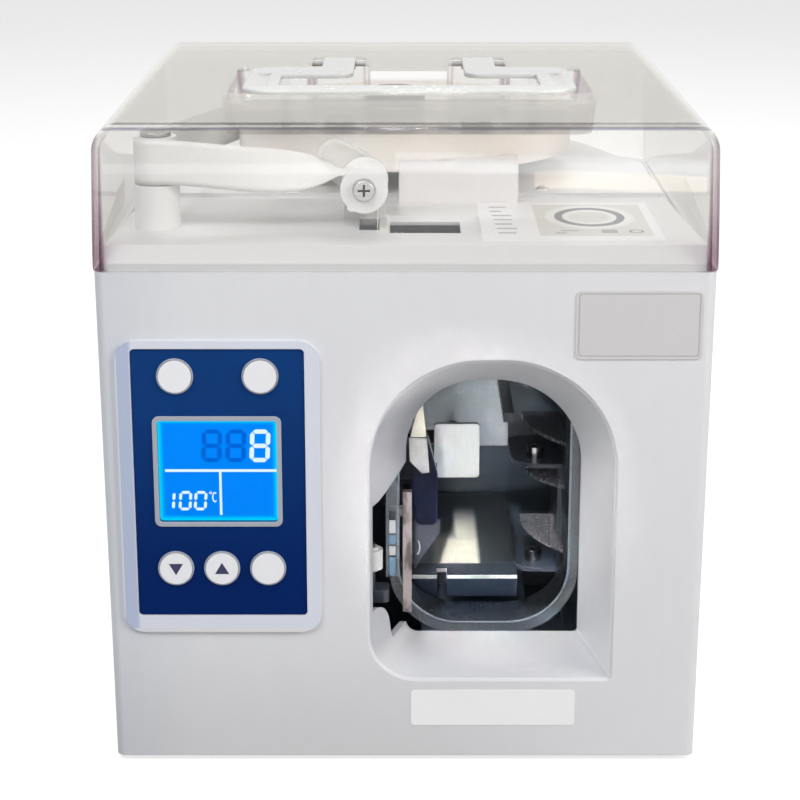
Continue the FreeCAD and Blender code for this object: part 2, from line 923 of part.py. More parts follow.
def button_places():
    """Name and centre of each push button."""
    upper = bezel_z1 - upper_button_drop
    lower = bezel_bottom + lower_button_height
    middle = panel_middle
    return {
        "eject_button": (middle - upper_button_spacing / 2, upper),
        "load_button": (middle + upper_button_spacing / 2, upper),
        "lower_heat_button": (middle - lower_button_spacing, lower),
        "raise_heat_button": (middle, lower),
        "clear_button": (middle + lower_button_spacing, lower),
    }


def display_box(inset):
    """Corners of the display frame, moved in by an inset."""
    x0 = panel_middle - display_frame_shift - display_frame_width / 2 + inset
    z0 = bezel_bottom + display_frame_bottom + inset
    return x0, x0 + display_frame_width - 2 * inset, z0, bezel_z1 - display_frame_top_gap - inset


def panel_bezel():
    """Raised rim around the control panel."""
    rim = face_prism(bezel_x0, bezel_x1, bezel_bottom, bezel_z1, front_y - bezel_proud, front_y,
                     [bezel_radius] * 4)
    mouth = face_prism(panel_x0 - slip_gap, panel_x1 + slip_gap, panel_z0 - slip_gap, panel_z1 + slip_gap,
                       front_y - overrun, front_y + overrun, [panel_radius + slip_gap] * 4)
    return rim.cut(mouth)


def control_panel():
    """Flat panel with the display's window and the button holes."""
    plate = face_prism(panel_x0, panel_x1, panel_z0, panel_z1, panel_face, panel_rear, [panel_radius] * 4)
    window = face_prism(*display_box(display_rim), panel_face - overrun, panel_rear + overrun,
                        [window_radius] * 4)
    plate = plate.cut(window)
    for x, z in button_places().values():
        hole = rod(button_radius + slip_gap, Vector(x, panel_face - overrun, z),
                   Vector(x, front_y + overrun, z))
        plate = plate.cut(hole)
    return plate


def display_frame():
    """Thin rim around the display."""
    rim = face_prism(*display_box(0), panel_face - display_frame_proud, panel_face,
                     [display_frame_radius] * 4)
    mouth = face_prism(*display_box(display_rim), panel_face - overrun, panel_face + overrun,
                       [window_radius] * 4)
    return rim.cut(mouth)


def display_window():
    """Clear window over the display."""
    inset = display_rim + slip_gap
    front = panel_face + slip_gap
    return face_prism(*display_box(inset), front, front + window_thickness, [window_radius] * 4)


def display_module():
    """Display behind the window."""
    front = panel_rear + slip_gap
    return face_prism(*display_box(0), front, front + module_thickness, [window_radius] * 4)


def button_rings():
    """Grey rings around the buttons."""
    rings = []
    for x, z in button_places().values():
        rings.append(tube(ring_radius, button_radius + slip_gap, Vector(x, panel_face - ring_proud, z),
                          Vector(x, panel_face, z)))
    return rings


def push_button(x, z):
    """Round cap with the flange that keeps it behind the panel."""
    front = front_y - bezel_proud - cap_proud
    cap = rod(button_radius, Vector(x, front, z), Vector(x, panel_rear + slip_gap, z))
    flange = rod(button_radius + button_flange, Vector(x, panel_rear + slip_gap, z),
                 Vector(x, panel_rear + slip_gap + button_flange_thickness, z))
    return join([cap, flange])


def control_board():
    """Board behind the panel with a switch behind each button."""
    front = board_face
    board = block(panel_x0 + board_margin, panel_x1 - board_margin, front, front + board_thickness,
                  panel_z0 + board_margin, panel_z1 - board_margin)
    return board


def tact_switches():
    """Switches that the buttons press."""
    switches = []
    for x, z in button_places().values():
        switches.append(rod(switch_radius, Vector(x, board_face - switch_height, z),
                            Vector(x, board_face, z)))
    return switches


def board_posts():
    """Posts from the panel to its board and module."""
    posts = []
    inset = board_margin + spacer_radius
    for x in (panel_x0 + inset, panel_x1 - inset):
        for z in (panel_z0 + inset, panel_z1 - inset):
            posts.append(rod(spacer_radius, Vector(x, panel_rear, z), Vector(x, board_face, z)))
    return posts


def badge_plate():
    """Bare raised plate with a thin line pressed into its face."""
    x0, x1 = badge_x1 - badge_width, badge_x1
    z0, z1 = badge_z1 - badge_height, badge_z1
    face = front_y - badge_thickness
    plate = face_prism(x0, x1, z0, z1, face, front_y, [badge_radius] * 4)
    grooves = []
    for inset in (badge_line_inset, badge_line_inset + badge_line):
        grooves.append(face_prism(x0 + inset, x1 - inset, z0 + inset, z1 - inset,
                                  face, face + badge_line_depth, [badge_radius - inset] * 4))
    return plate.cut(grooves[0].cut(grooves[1]))


# Tape path

def reel_spindle():
    """Spindle boss on the deck with its pin and cap."""
    x, y = roll_centre.x, roll_centre.y
    boss_top = rear_deck_top + spindle_boss_height
    pin_top = roll_bottom + tape_width - hub_short
    boss = rod(spindle_boss_radius, Vector(x, y, rear_deck_top), Vector(x, y, boss_top))
    pin = rod(spindle_radius, Vector(x, y, boss_top), Vector(x, y, pin_top + seat_gap))
    cap = rod(spindle_cap_radius, Vector(x, y, pin_top + seat_gap),
              Vector(x, y, pin_top + seat_gap + spindle_cap_thickness))
    return join([boss, pin, cap])


def reel_hub():
    """Hub with the disc that carries the roll."""
    x, y = roll_centre.x, roll_centre.y
    flange_top = roll_bottom - hub_gap
    flange_low = flange_top - hub_flange_thickness
    flange = rod(hub_flange_radius, Vector(x, y, flange_low), Vector(x, y, flange_top))
    hub = rod(core_radius - hub_gap, Vector(x, y, flange_top),
              Vector(x, y, roll_bottom + tape_width - hub_short))
    bore = rod(spindle_radius + run_gap, Vector(x, y, flange_low - overrun), Vector(x, y, cover_top))
    return join([flange, hub]).cut(bore)


def tape_roll():
    """Roll of paper tape lying flat."""
    x, y = roll_centre.x, roll_centre.y
    return tube(roll_radius, core_radius, Vector(x, y, roll_bottom), Vector(x, y, roll_bottom + tape_width))


def guide_post():
    """Fixed lower part of the guide post."""
    x, y = post_centre.x, post_centre.y
    base = cone_z(post_base_radius, post_base_radius - run_gap, x, y, deck_top, post_top)
    return base.cut(rod(post_pin_radius, Vector(x, y, post_top - post_pin_seat), Vector(x, y, cover_top)))


def post_pin():
    """Headed pin on which the sleeve turns."""
    x, y = post_centre.x, post_centre.y
    head_low = sleeve_top + seat_gap
    pin = rod(post_pin_radius, Vector(x, y, post_top - post_pin_seat), Vector(x, y, head_low))
    head = rod(post_head_radius, Vector(x, y, head_low), Vector(x, y, head_low + post_head_thickness))
    return join([pin, head])


def guide_sleeve():
    """Turning sleeve that the tape goes round."""
    x, y = post_centre.x, post_centre.y
    return tube(sleeve_radius, post_pin_radius + run_gap, Vector(x, y, sleeve_bottom),
                Vector(x, y, sleeve_top))


def along_roller(y):
    """Point on the guide roller's axis."""
    return Vector(-roller_x, y, roller_z)


def guide_roller():
    """Flanged roller with a small nib on its front disc."""
    front = roller_front_y
    core_front = front + roller_flange_thickness
    core_back = core_front + roller_core_length
    front_disc = rod(roller_flange_radius, along_roller(front), along_roller(core_front))
    core = rod(roller_core_radius, along_roller(core_front), along_roller(core_back))
    back_disc = rod(roller_flange_radius, along_roller(core_back), along_roller(roller_back))
    nib = block(0, roller_nib_reach, front, core_front, -roller_nib_width / 2, roller_nib_width / 2)
    nib.rotate(Vector(0, 0, 0), Vector(0, -1, 0), roller_nib_angle)
    nib.translate(Vector(-roller_x, 0, roller_z))
    bore = rod(roller_axle_radius + run_gap, along_roller(front - overrun),
               along_roller(roller_back + overrun))
    return join([front_disc, core, back_disc, nib]).cut(bore)


def roller_axle():
    """Fixed axle of the guide roller, tapped for its screw."""
    front = roller_front_y
    axle = rod(roller_axle_radius, along_roller(front - slip_gap), along_roller(bracket_back))
    return axle.cut(rod(roller_shank_radius, along_roller(front - overrun),
                        along_roller(front + roller_shank_length)))


def roller_screw():
    """Pan head screw with a cross recess that keeps the roller on."""
    seat = roller_front_y - slip_gap
    face = seat - roller_screw_thickness
    head = Part.makeCone(roller_screw_radius, roller_screw_top_radius, roller_screw_thickness,
                         along_roller(seat), Vector(0, -1, 0))
    shank = rod(roller_shank_radius, along_roller(seat), along_roller(seat + roller_shank_length))
    screw = join([head, shank])
    for half_x, half_z in ((cross_length / 2, cross_width / 2), (cross_width / 2, cross_length / 2)):
        screw = screw.cut(block(-roller_x - half_x, -roller_x + half_x, face - overrun, face + cross_depth,
                                roller_z - half_z, roller_z + half_z))
    return screw


def guard_wire(inset, y):
    """Teardrop outline from the roller up to the guard's lobe."""
    start = along_roller(y)
    lobe = start + Vector(-guard_lobe_x, 0, guard_lobe_z)
    low_radius = roller_flange_radius - inset
    lobe_radius = guard_lobe_radius - inset
    run = lobe - start
    slope = atan2(run.z, run.x)
    spread = asin((low_radius - lobe_radius) / run.Length)

    def on_circle(centre, radius, angle):
        return centre + Vector(radius * cos(angle), 0, radius * sin(angle))

    turn = pi / 2 - spread
    low_a = on_circle(start, low_radius, slope + turn)
    low_b = on_circle(start, low_radius, slope - turn)
    low_mid = on_circle(start, low_radius, slope + pi)
    top_a = on_circle(lobe, lobe_radius, slope + turn)
    top_b = on_circle(lobe, lobe_radius, slope - turn)
    top_mid = on_circle(lobe, lobe_radius, slope)
    return Part.Wire([
        Part.Arc(low_a, low_mid, low_b).toShape(),
        Part.LineSegment(low_b, top_b).toShape(),
        Part.Arc(top_b, top_mid, top_a).toShape(),
        Part.LineSegment(top_a, low_a).toShape(),
    ])


def tape_guard():
    """Lobed guard behind the roller, with a rim that stands forward around the lobe."""
    plate = prism(guard_wire(0, guard_front), Vector(0, guard_thickness, 0))
    bore = rod(roller_axle_radius + run_gap, along_roller(guard_front - overrun), along_roller(body_back))
    rim_front = guard_front - guard_rim_depth
    rim = prism(guard_wire(0, rim_front), Vector(0, guard_rim_depth, 0))
    rim = rim.cut(prism(guard_wire(guard_rim_width, rim_front), Vector(0, guard_rim_depth, 0)))
    clear_of_roller = rod(roller_flange_radius + 2 * seat_gap, along_roller(rim_front - overrun),
                          along_roller(guard_front))
    web_space = block(-body_width, tape_drop_x + overrun, rim_front, guard_front, 0, roller_z)
    return join([plate, rim.cut(clear_of_roller).cut(web_space)]).cut(bore)


def roller_bracket():
    """Upright bracket on the deck behind the roller."""
    half = roller_bracket_width / 2
    top = roller_z + roller_axle_radius * 3
    plate = face_prism(-roller_x - half, -roller_x + half, deck_top, top, bracket_front, bracket_back,
                       [0, 0, half / 2, half / 2])
    foot = block(-roller_x - half, -roller_x + half, bracket_back, bracket_back + roller_bracket_foot,
                 deck_top, deck_top + roller_bracket_thickness)
    return join([plate, foot]).cut(rod(roller_axle_radius, along_roller(guard_front),
                                       along_roller(body_back)))


def sensor_block():
    """White block whose back follows the roll."""
    form = block(-sensor_left, sensor_right, sensor_front_y, deck_step_y, deck_top, deck_top + sensor_height)
    rear = block(-sensor_left, sensor_right, deck_step_y, sensor_back_y, rear_deck_top,
                 deck_top + sensor_height)
    swept = rod(roll_radius + sensor_gap, Vector(0, roll_y, roll_bottom - sensor_height),
                Vector(0, roll_y, cover_top))
    return join([form, rear]).cut(swept)


def strip_section(x, y, z, turn):
    """Cross-section of the tape in an upright plane across the machine, turned from upright to level."""
    across = Vector(0, sin(turn), cos(turn)) * (tape_width / 2)
    through = Vector(0, -cos(turn), sin(turn)) * (tape_thickness / 2)
    centre = Vector(x, y, z)
    corners = [centre - across - through, centre + across - through, centre + across + through,
               centre - across + through]
    return rounded_wire(corners, [0, 0, 0, 0])


def tape_web():
    """Tape from the roll round the post, twisting over the roller and down into its slot."""
    leave, meet = wrap_tangents()
    rise = sleeve_bottom + (sleeve_height - tape_width) / 2
    first = flat_strip(leave, meet, roll_bottom, rise)
    wrap = ring_sector(post_centre, wrap_radius, degrees(atan2(meet.y - post_centre.y,
                                                               meet.x - post_centre.x)),
                       rise)
    web_sections = []
    start_y = post_centre.y - wrap_radius - tape_thickness / 2
    end_z = roller_z + roller_core_radius + seat_gap + tape_thickness / 2
    run = post_x - roller_x - roller_flange_radius - tape_lead
    for share in web_station_shares:
        ease = share * share * (3 - 2 * share)
        y = start_y + (tape_y - start_y) * ease
        z = rise + tape_width / 2 + (end_z - rise - tape_width / 2) * ease
        web_sections.append(strip_section(-post_x + run * share, y, z, pi / 2 * share ** 4))
    web = Part.makeLoft(web_sections, True, False)
    lead = block(-post_x + run, -roller_x, tape_y - tape_width / 2, tape_y + tape_width / 2,
                 end_z - tape_thickness / 2, end_z + tape_thickness / 2)
    over = roller_sector()
    drop = block(tape_drop_x, tape_drop_x + tape_thickness, tape_y - tape_width / 2, tape_y + tape_width / 2,
                 feed_z, roller_z)
    return [first, wrap, web, lead, over, drop]


def wrap_tangents():
    """Where the tape leaves the roll and where it meets the post, both on the outer left side."""
    run = post_centre - roll_centre
    along = Vector(run).normalize()
    side = Vector(along.y, -along.x, 0)
    lean = (roll_radius - wrap_radius) / run.Length
    normal = along * lean + side * sqrt(1 - lean * lean)
    return roll_centre + normal * roll_radius, post_centre + normal * wrap_radius


def flat_strip(start, end, low_start, low_end):
    """Upright strip between two points seen from above, climbing from one to the other."""
    run = Vector(end - start).normalize()
    outward = Vector(run.y, -run.x, 0) * tape_thickness
    wires = []
    for point, low in ((start, low_start), (end, low_end)):
        base = Vector(point.x, point.y, low)
        height = Vector(0, 0, tape_width)
        wires.append(rounded_wire([base, base + outward, base + outward + height, base + height],
                                  [0, 0, 0, 0]))
    return loft(wires)


def ring_sector(centre, radius, start_angle, low):
    """Tape wrapped round the post, from its meeting point to the front."""
    ring = tube(radius + tape_thickness, radius, Vector(centre.x, centre.y, low),
                Vector(centre.x, centre.y, low + tape_width))
    reach = 2 * radius
    begin = radians(start_angle % 360)
    finish = 3 * pi / 2
    corners = [Vector(centre.x, centre.y, low)]
    for index in range(wrap_faces + 1):
        angle = begin + (finish - begin) * index / wrap_faces
        corners.append(Vector(centre.x + reach * cos(angle), centre.y + reach * sin(angle), low))
    wedge = prism(rounded_wire(corners, [0] * len(corners)), Vector(0, 0, tape_width))
    return ring.common(wedge)


def roller_sector():
    """Tape bent over the top right of the guide roller."""
    y0 = tape_y - tape_width / 2
    radius = roller_core_radius + seat_gap
    ring = tube(radius + tape_thickness, radius, along_roller(y0), along_roller(y0 + tape_width))
    quarter = block(-roller_x, -roller_x + 2 * radius, y0, y0 + tape_width, roller_z, roller_z + 2 * radius)
    return ring.common(quarter)


# Dust cover and handle

def cover_form(inset):
    """Outer form of the dust cover as the overlap of its front, side and plan outlines."""
    low = cover_bottom - (overrun if inset else 0)
    half = cover_half - inset
    front = cover_front + inset
    back = cover_back - inset
    top = cover_top - inset
    lean = cover_lean
    corner = cover_top_radius - inset
    small = max(cover_front_radius - inset, cover_front_radius / 4)
    front_profile = prism(rounded_wire(
        [Vector(-half, front, low), Vector(half, front, low), Vector(half - lean, front, top),
         Vector(-half + lean, front, top)], [0, 0, corner, corner]), Vector(0, back - front, 0))
    side_profile = prism(rounded_wire(
        [Vector(-cover_half, front, low), Vector(-cover_half, back, low), Vector(-cover_half, back, top),
         Vector(-cover_half, front, top)], [0, 0, cover_back_radius - inset, small]),
         Vector(2 * cover_half, 0, 0))
    plan = plan_prism(-half, half, front, back, low, top,
                      [cover_corner_radius - inset, cover_corner_radius - inset,
                       cover_rear_corner_radius - inset, cover_rear_corner_radius - inset])
    return front_profile.common(side_profile).common(plan)


def well_form(grow):
    """Space of the handle well, grown outwards and downwards."""
    floor = well_floor - grow
    top = cover_top + overrun
    radius = well_corner_radius + grow
    share = well_draft / (cover_top - well_floor)
    wires = []
    for z in (floor, top):
        out = share * (z - well_floor) + grow
        wires.append(rounded_wire(plan_points(handle_x - well_width / 2 - out + well_draft,
                                              handle_x + well_width / 2 + out - well_draft,
                                              -well_front - out + well_draft, well_back + out - well_draft,
                                              z),
                                  [radius] * 4))
    form = loft(wires)
    for x in tab_centres():
        form = form.fuse(plan_prism(x - pocket_width / 2 - grow, x + pocket_width / 2 + grow, 0,
                                    pocket_back + grow, floor, top,
                                    [0, 0, pocket_corner_radius + grow, pocket_corner_radius + grow]))
    return form


def tab_centres():
    """Middles of the handle's two hinge tabs."""
    return handle_x - tab_spacing / 2, handle_x + tab_spacing / 2


def handle_pin(x, radius, extra):
    """Round bar along the pin line across one pocket."""
    reach = pocket_width / 2 + handle_pin_seat + extra
    return rod(radius, Vector(x - reach, handle_pin_y, handle_pin_z),
               Vector(x + reach, handle_pin_y, handle_pin_z))


def well_dome(inset):
    """Round dome in the well's floor, moved in by an inset."""
    low = well_floor - cover_wall - (overrun if inset else 0)
    high = well_floor + dome_height - inset
    dome = rod(dome_radius - inset, Vector(-dome_x, dome_y, low), Vector(-dome_x, dome_y, high))
    top_edges = [edge for edge in dome.Edges if is_level(edge, high)]
    return dome.makeFillet(dome_edge_radius - inset, top_edges)


def handle_rests():
    """Two posts in the well, at the ends of the finger opening, that the handle lies on."""
    rests = []
    for side in (-1, 1):
        inner = handle_x + side * (finger_width / 2 - rest_reach)
        outer = inner + side * rest_width
        rests.append(block(min(inner, outer), max(inner, outer), rest_y, rest_y + rest_width,
                           well_floor - seat_gap, handle_bottom - seat_gap))
    return rests


def dust_cover():
    """Clear shell with the sunk handle well and its hinge knuckles."""
    outer = cover_form(0)
    shell = outer.cut(cover_form(cover_wall))
    basin = well_form(cover_wall).common(outer)
    cover = shell.fuse(basin).cut(well_form(0))
    cover = cover.fuse(well_dome(0)).cut(well_dome(cover_wall))
    for x in tab_centres():
        cover = cover.cut(handle_pin(x, handle_pin_radius + run_gap, seat_gap))
    cover = cover.removeSplitter()
    return join([cover] + handle_rests() + cover_knuckles())


def handle_plate():
    """The handle's flat ring, open at the back, with its two tabs."""
    x0 = handle_x - handle_width / 2
    x1 = handle_x + handle_width / 2
    z0, z1 = handle_bottom, handle_top
    ring = plan_prism(x0, x1, -handle_front, handle_back, z0, z1, [handle_corner_radius] * 4)
    finger = plan_prism(handle_x - finger_width / 2, handle_x + finger_width / 2, -finger_front, finger_back,
                        z0 - overrun, z1 + overrun, [finger_radius] * 4)
    mouth = block(handle_x - handle_mouth_width / 2, handle_x + handle_mouth_width / 2,
                  finger_back - finger_radius, handle_back + overrun, z0 - overrun, z1 + overrun)
    plate = ring.cut(finger).cut(mouth)
    for x in tab_centres():
        plate = plate.fuse(block(x - tab_width / 2, x + tab_width / 2, handle_back - mouth_corner_radius,
                                 handle_pin_y, z0, z1))
    plate = plate.removeSplitter()
    corners = [edge for edge in plate.Edges if is_mouth_corner(edge)]
    return plate.makeFillet(mouth_corner_radius, corners)


def is_mouth_corner(edge):
    """Whether an edge is the upright one where the mouth meets the finger opening."""
    box = edge.BoundBox
    upright = box.XLength < run_gap and box.YLength < run_gap
    across = abs(abs(box.XMin - handle_x) - handle_mouth_width / 2)
    return upright and across < run_gap and box.YMin < handle_back / 2


def grip_groove(side):
    """Hollow along one grip of the handle."""
    x = handle_x + side * (handle_width / 2 - groove_inset)
    z = handle_top + groove_round - groove_depth
    return rod(groove_round, Vector(x, -finger_front - groove_end_gap, z),
               Vector(x, finger_back + groove_end_gap, z))


def carry_handle():
    """Folding handle: a flat ring open at the back, on two barrels with pins."""
    plate = handle_plate()
    top_edges = [edge for edge in plate.Edges
                 if is_level(edge, handle_top) and edge.BoundBox.YMax < handle_pin_y]
    handle = plate.makeFillet(handle_edge_radius, top_edges)
    for side in (-1, 1):
        handle = handle.cut(grip_groove(side))
    for x in tab_centres():
        barrel = rod(barrel_radius, Vector(x - tab_width / 2, handle_pin_y, handle_pin_z),
                     Vector(x + tab_width / 2, handle_pin_y, handle_pin_z))
        handle = handle.fuse(barrel).fuse(handle_pin(x, handle_pin_radius, 0))
    return handle.removeSplitter()


def is_level(edge, z):
    """Whether an edge lies at one height."""
    box = edge.BoundBox
    return abs(box.ZMin - z) < run_gap and abs(box.ZMax - z) < run_gap


def hinge_part(x0, x1, radius):
    """Stretch of a hinge along its line."""
    return rod(radius, Vector(x0, hinge_y, hinge_z), Vector(x1, hinge_y, hinge_z))


def hinge_places():
    """Middles of the two cover hinges."""
    return -hinge_spacing / 2, hinge_spacing / 2


def cover_knuckles():
    """Middle knuckle of each hinge, on its rib at the back of the dust cover."""
    parts = []
    for x in hinge_places():
        x0, x1 = x - knuckle_length / 2, x + knuckle_length / 2
        leaf = block(x0, x1, cover_back, cover_back + hinge_leaf_thickness, hinge_z,
                     hinge_z + hinge_leaf_height)
        knuckle = hinge_part(x0, x1, knuckle_radius)
        parts.append(join([leaf, knuckle]).cut(hinge_part(x0, x1, hinge_pin_radius + run_gap)))
    return parts


def body_knuckles():
    """Fixed outer knuckles of each hinge, with their leaf on the rear cover."""
    parts = []
    for x in hinge_places():
        x0 = x - knuckle_length / 2 - hinge_gap - hinge_side_length
        x1 = x + knuckle_length / 2 + hinge_gap + hinge_side_length
        low = hinge_z - hinge_leaf_height
        leaf = block(x0, x1, body_back, body_back + hinge_leaf_thickness, low,
                     hinge_z - knuckle_radius - hinge_gap)
        ears = []
        for start in (x0, x1 - hinge_side_length):
            barrel = hinge_part(start, start + hinge_side_length, knuckle_radius)
            neck = block(start, start + hinge_side_length, body_back, hinge_y,
                         hinge_z - knuckle_radius - hinge_gap, hinge_z)
            ears.append(barrel.fuse(neck))
        parts.append(join([leaf] + ears).cut(hinge_part(x0 - overrun, x1 + overrun, hinge_pin_radius)))
    return parts


def hinge_pins():
    """Pins of the cover hinges."""
    pins = []
    for x in hinge_places():
        reach = knuckle_length / 2 + hinge_gap + hinge_side_length
        pins.append(hinge_part(x - reach, x + reach, hinge_pin_radius))
    return pins


# Frame inside the housing

def left_frame_plate():
    """Upright plate left of the bay."""
    return block(-left_plate_x - plate_thickness, -left_plate_x,
                 -side_plate_front - chute_depth - chute_depth,
                 side_plate_back, base_top, deck_low)


def right_frame_plate():
    """Upright plate right of the bay."""
    return block(right_plate_x, right_plate_x + plate_thickness, -side_plate_front, side_plate_back,
                 base_top,
                 deck_low)


def top_beam():
    """Beam between the side plates that carries the press head."""
    return block(-left_plate_x, right_plate_x, -beam_front, beam_back, beam_height,
                 beam_height + beam_thickness)


def back_plate():
    """Galvanised plate behind the notes, with a stepped lower edge and the rod's hole."""
    y1 = back_plate_y + plate_thickness
    main = block(-left_plate_x, back_plate_step_x, back_plate_y, y1, back_plate_high, deck_low)
    low = block(back_plate_step_x, back_plate_right, back_plate_y, y1, back_plate_low, deck_low)
    hole = rod(stop_rod_radius + seat_gap, Vector(stop_x, back_plate_y - overrun, stop_rod_z),
               Vector(stop_x, y1 + overrun, stop_rod_z))
    return join([main, low]).cut(hole)


def rear_screen():
    """Dark plate that closes the space behind the tray and beside the back plate."""
    y0 = back_plate_y + plate_thickness
    lower = block(-left_plate_x, right_plate_x, y0, y0 + plate_thickness, base_top, back_plate_low)
    upper = block(back_plate_right + seat_gap, right_plate_x, y0, y0 + plate_thickness, back_plate_low,
                  deck_low)
    return join([lower, upper])


def pedestal():
    """Box under the track and the tray."""
    return block(pedestal_left, pedestal_right, -pedestal_front, pedestal_back, base_top, pedestal_top)


def tray_posts():
    """Two blocks that carry the tray."""
    posts = []
    x0 = (tray_right - tray_post_width) / 2
    for y in (-tray_post_spacing / 2, tray_post_spacing / 2):
        posts.append(block(x0, x0 + tray_post_width, y, y + tray_post_depth, pedestal_top,
                           tray_top - plate_thickness))
    return posts


def note_tray():
    """Steel tray with a turned-down front lip and a notch."""
    top = block(0, tray_right, -tray_front, tray_back, tray_top - plate_thickness, tray_top)
    lip = block(0, tray_right, -tray_front, -tray_front + plate_thickness, tray_top - tray_lip_drop,
                tray_top)
    notch = block(tray_notch_left, tray_notch_left + tray_notch_width, -tray_front - overrun,
                  -tray_front + tray_notch_depth, tray_top - tray_lip_drop - overrun, tray_top + overrun)
    return join([top, lip]).cut(notch)


def track_profile(inset, y):
    """Upright U outline of the loop track, closed well above its top."""
    x0, x1 = -track_left + inset, track_right - inset
    radius = track_radius - inset
    return rounded_wire(face_points(x0, x1, track_bottom + inset, track_top + overrun, y),
                        [radius, radius, 0, 0])


def u_channel(outer_inset, inner_inset, y0, y1, top):
    """Band between two U outlines, open at the top."""
    depth = Vector(0, y1 - y0, 0)
    band = prism(track_profile(outer_inset, y0), depth).cut(prism(track_profile(inner_inset, y0), depth))
    above = block(-body_width, body_width, y0 - overrun, y1 + overrun, top, body_height + body_width)
    return band.cut(above)


def loop_track():
    """Clear loop track that leads the tape round the notes."""
    return u_channel(-track_wall, 0, -track_front, -track_back, track_top)


def track_liner():
    """Thin steel band inside the loop track."""
    return u_channel(0, liner_thickness, -track_front + liner_margin, -track_back - liner_margin, track_top)


def stop_plate():
    """Square plate that the notes are pushed against."""
    return face_prism(stop_x - stop_width / 2, stop_x + stop_width / 2, stop_z - stop_height / 2,
                      stop_z + stop_height / 2, -stop_front, stop_back, [stop_radius] * 4)


def stop_rod():
    """Sliding rod behind the stop plate."""
    end = back_plate_y + plate_thickness + stop_guide_length + stop_rod_spare
    return rod(stop_rod_radius, Vector(stop_x, stop_back, stop_rod_z), Vector(stop_x, end, stop_rod_z))


def stop_guide():
    """Guide tube of the stop rod, behind the back plate."""
    start = back_plate_y + plate_thickness
    return tube(stop_guide_radius, stop_rod_radius + run_gap, Vector(stop_x, start, stop_rod_z),
                Vector(stop_x, start + stop_guide_length, stop_rod_z))


def side_rail():
    """Level rail beside the stop plate."""
    return block(rail_left, rail_left + rail_width, -rail_front, back_plate_y, rail_bottom,
                 rail_bottom + rail_height)


def press_head():
    """Dark head that hangs from the beam, with a small foot."""
    head = block(press_left, press_left + press_width, -press_front, -press_front + press_depth,
                 press_bottom,
                 beam_height)
    foot = block(press_left + press_width, press_left + press_width + press_foot_width, -press_front,
                 -press_front + press_depth / 3, press_bottom, press_bottom + press_foot_height)
    return join([head, foot])


# Clamp

def clamp_block():
    """Glossy leaning clamp body with its tapered cheek and its sliding bar."""
    x1 = clamp_left + clamp_width
    y0 = -clamp_front
    y1 = y0 + clamp_depth
    top = clamp_bottom + clamp_height
    cheek_top = top + clamp_cheek_height
    lean_share = clamp_height / (clamp_height + clamp_cheek_height)
    waist = clamp_left + clamp_lean * (1 - lean_share)
    body = prism(rounded_wire([
        Vector(clamp_left + clamp_lean, y0, clamp_bottom),
        Vector(x1, y0, clamp_bottom),
        Vector(x1, y0, top),
        Vector(waist, y0, top),
    ], [clamp_corner_radius, clamp_corner_radius, 0, 0]), Vector(0, clamp_depth, 0))
    cheek = prism(rounded_wire([
        Vector(waist, y0, top),
        Vector(x1, y0, top),
        Vector(clamp_left + clamp_cheek_width, y0, cheek_top),
        Vector(clamp_left, y0, cheek_top),
    ], [0] * 4), Vector(0, clamp_cheek_depth, 0))
    bar_low = clamp_bottom + slide_bar_bottom
    end = -left_plate_x + clamp_guide_border
    bar = block(end, clamp_left + clamp_width / 2, y1 - slide_bar_depth, y1,
                bar_low, bar_low + slide_bar_height)
    return join([body, cheek, bar])


def clamp_arm():
    """Matt arm that holds the clamp body from below, tapering towards its foot."""
    x0 = clamp_left + clamp_lean - clamp_arm_inset
    x1 = clamp_left + clamp_width + clamp_arm_reach
    top = clamp_bottom + clamp_corner_radius
    foot = clamp_bottom - clamp_arm_drop
    y0 = -clamp_front
    outline = rounded_wire([
        Vector(x0, y0, top),
        Vector(x0, y0, foot),
        Vector(x0 + clamp_arm_inset, y0, foot),
        Vector(x0 + clamp_arm_foot_inset, y0, clamp_bottom - clamp_arm_knee),
        Vector(x1, y0, clamp_bottom - clamp_arm_shoulder),
        Vector(x1, y0, top),
    ], [0, 0, 0, clamp_arm_radius, clamp_arm_radius, 0])
    return prism(outline, Vector(0, clamp_arm_thickness, 0)).cut(clamp_block())


def clamp_tip():
    """Bright leaning finger on top of the clamp's cheek."""
    low = clamp_bottom + clamp_height + clamp_cheek_height
    high = low + clamp_tip_height
    x0 = clamp_left + clamp_tip_inset
    x1 = x0 + clamp_tip_width
    y0 = -clamp_front
    left_lean, right_lean = clamp_tip_leans
    outline = rounded_wire([
        Vector(x0, y0, low),
        Vector(x1, y0, low),
        Vector(x1 - right_lean, y0, high),
        Vector(x0 + left_lean, y0, high),
    ], [0, 0, clamp_tip_radius, clamp_tip_radius])
    return prism(outline, Vector(0, clamp_cheek_depth, 0))


def clamp_guide():
    """Guide block for the clamp's bar, on the left plate."""
    y1 = -clamp_front + clamp_depth
    bar_low = clamp_bottom + slide_bar_bottom
    border = clamp_guide_border
    outer = block(-left_plate_x, -left_plate_x + border + clamp_travel + clamp_guide_grip,
                  y1 - slide_bar_depth - border,
                  y1 + border, bar_low - border, bar_low + slide_bar_height + border)
    channel = block(-left_plate_x, clamp_left, y1 - slide_bar_depth - slip_gap, y1 + slip_gap,
                    bar_low - slip_gap, bar_low + slide_bar_height + slip_gap)
    return outer.cut(channel)


def sealing_bar():
    """Upright copper-coloured bar in front of the track's left leg."""
    x0 = chute_width - chute_left + sealing_gap
    y1 = -track_front - sealing_setback
    return block(x0, x0 + sealing_width, y1 - sealing_depth, y1, sealing_bottom,
                 sealing_bottom + sealing_height)


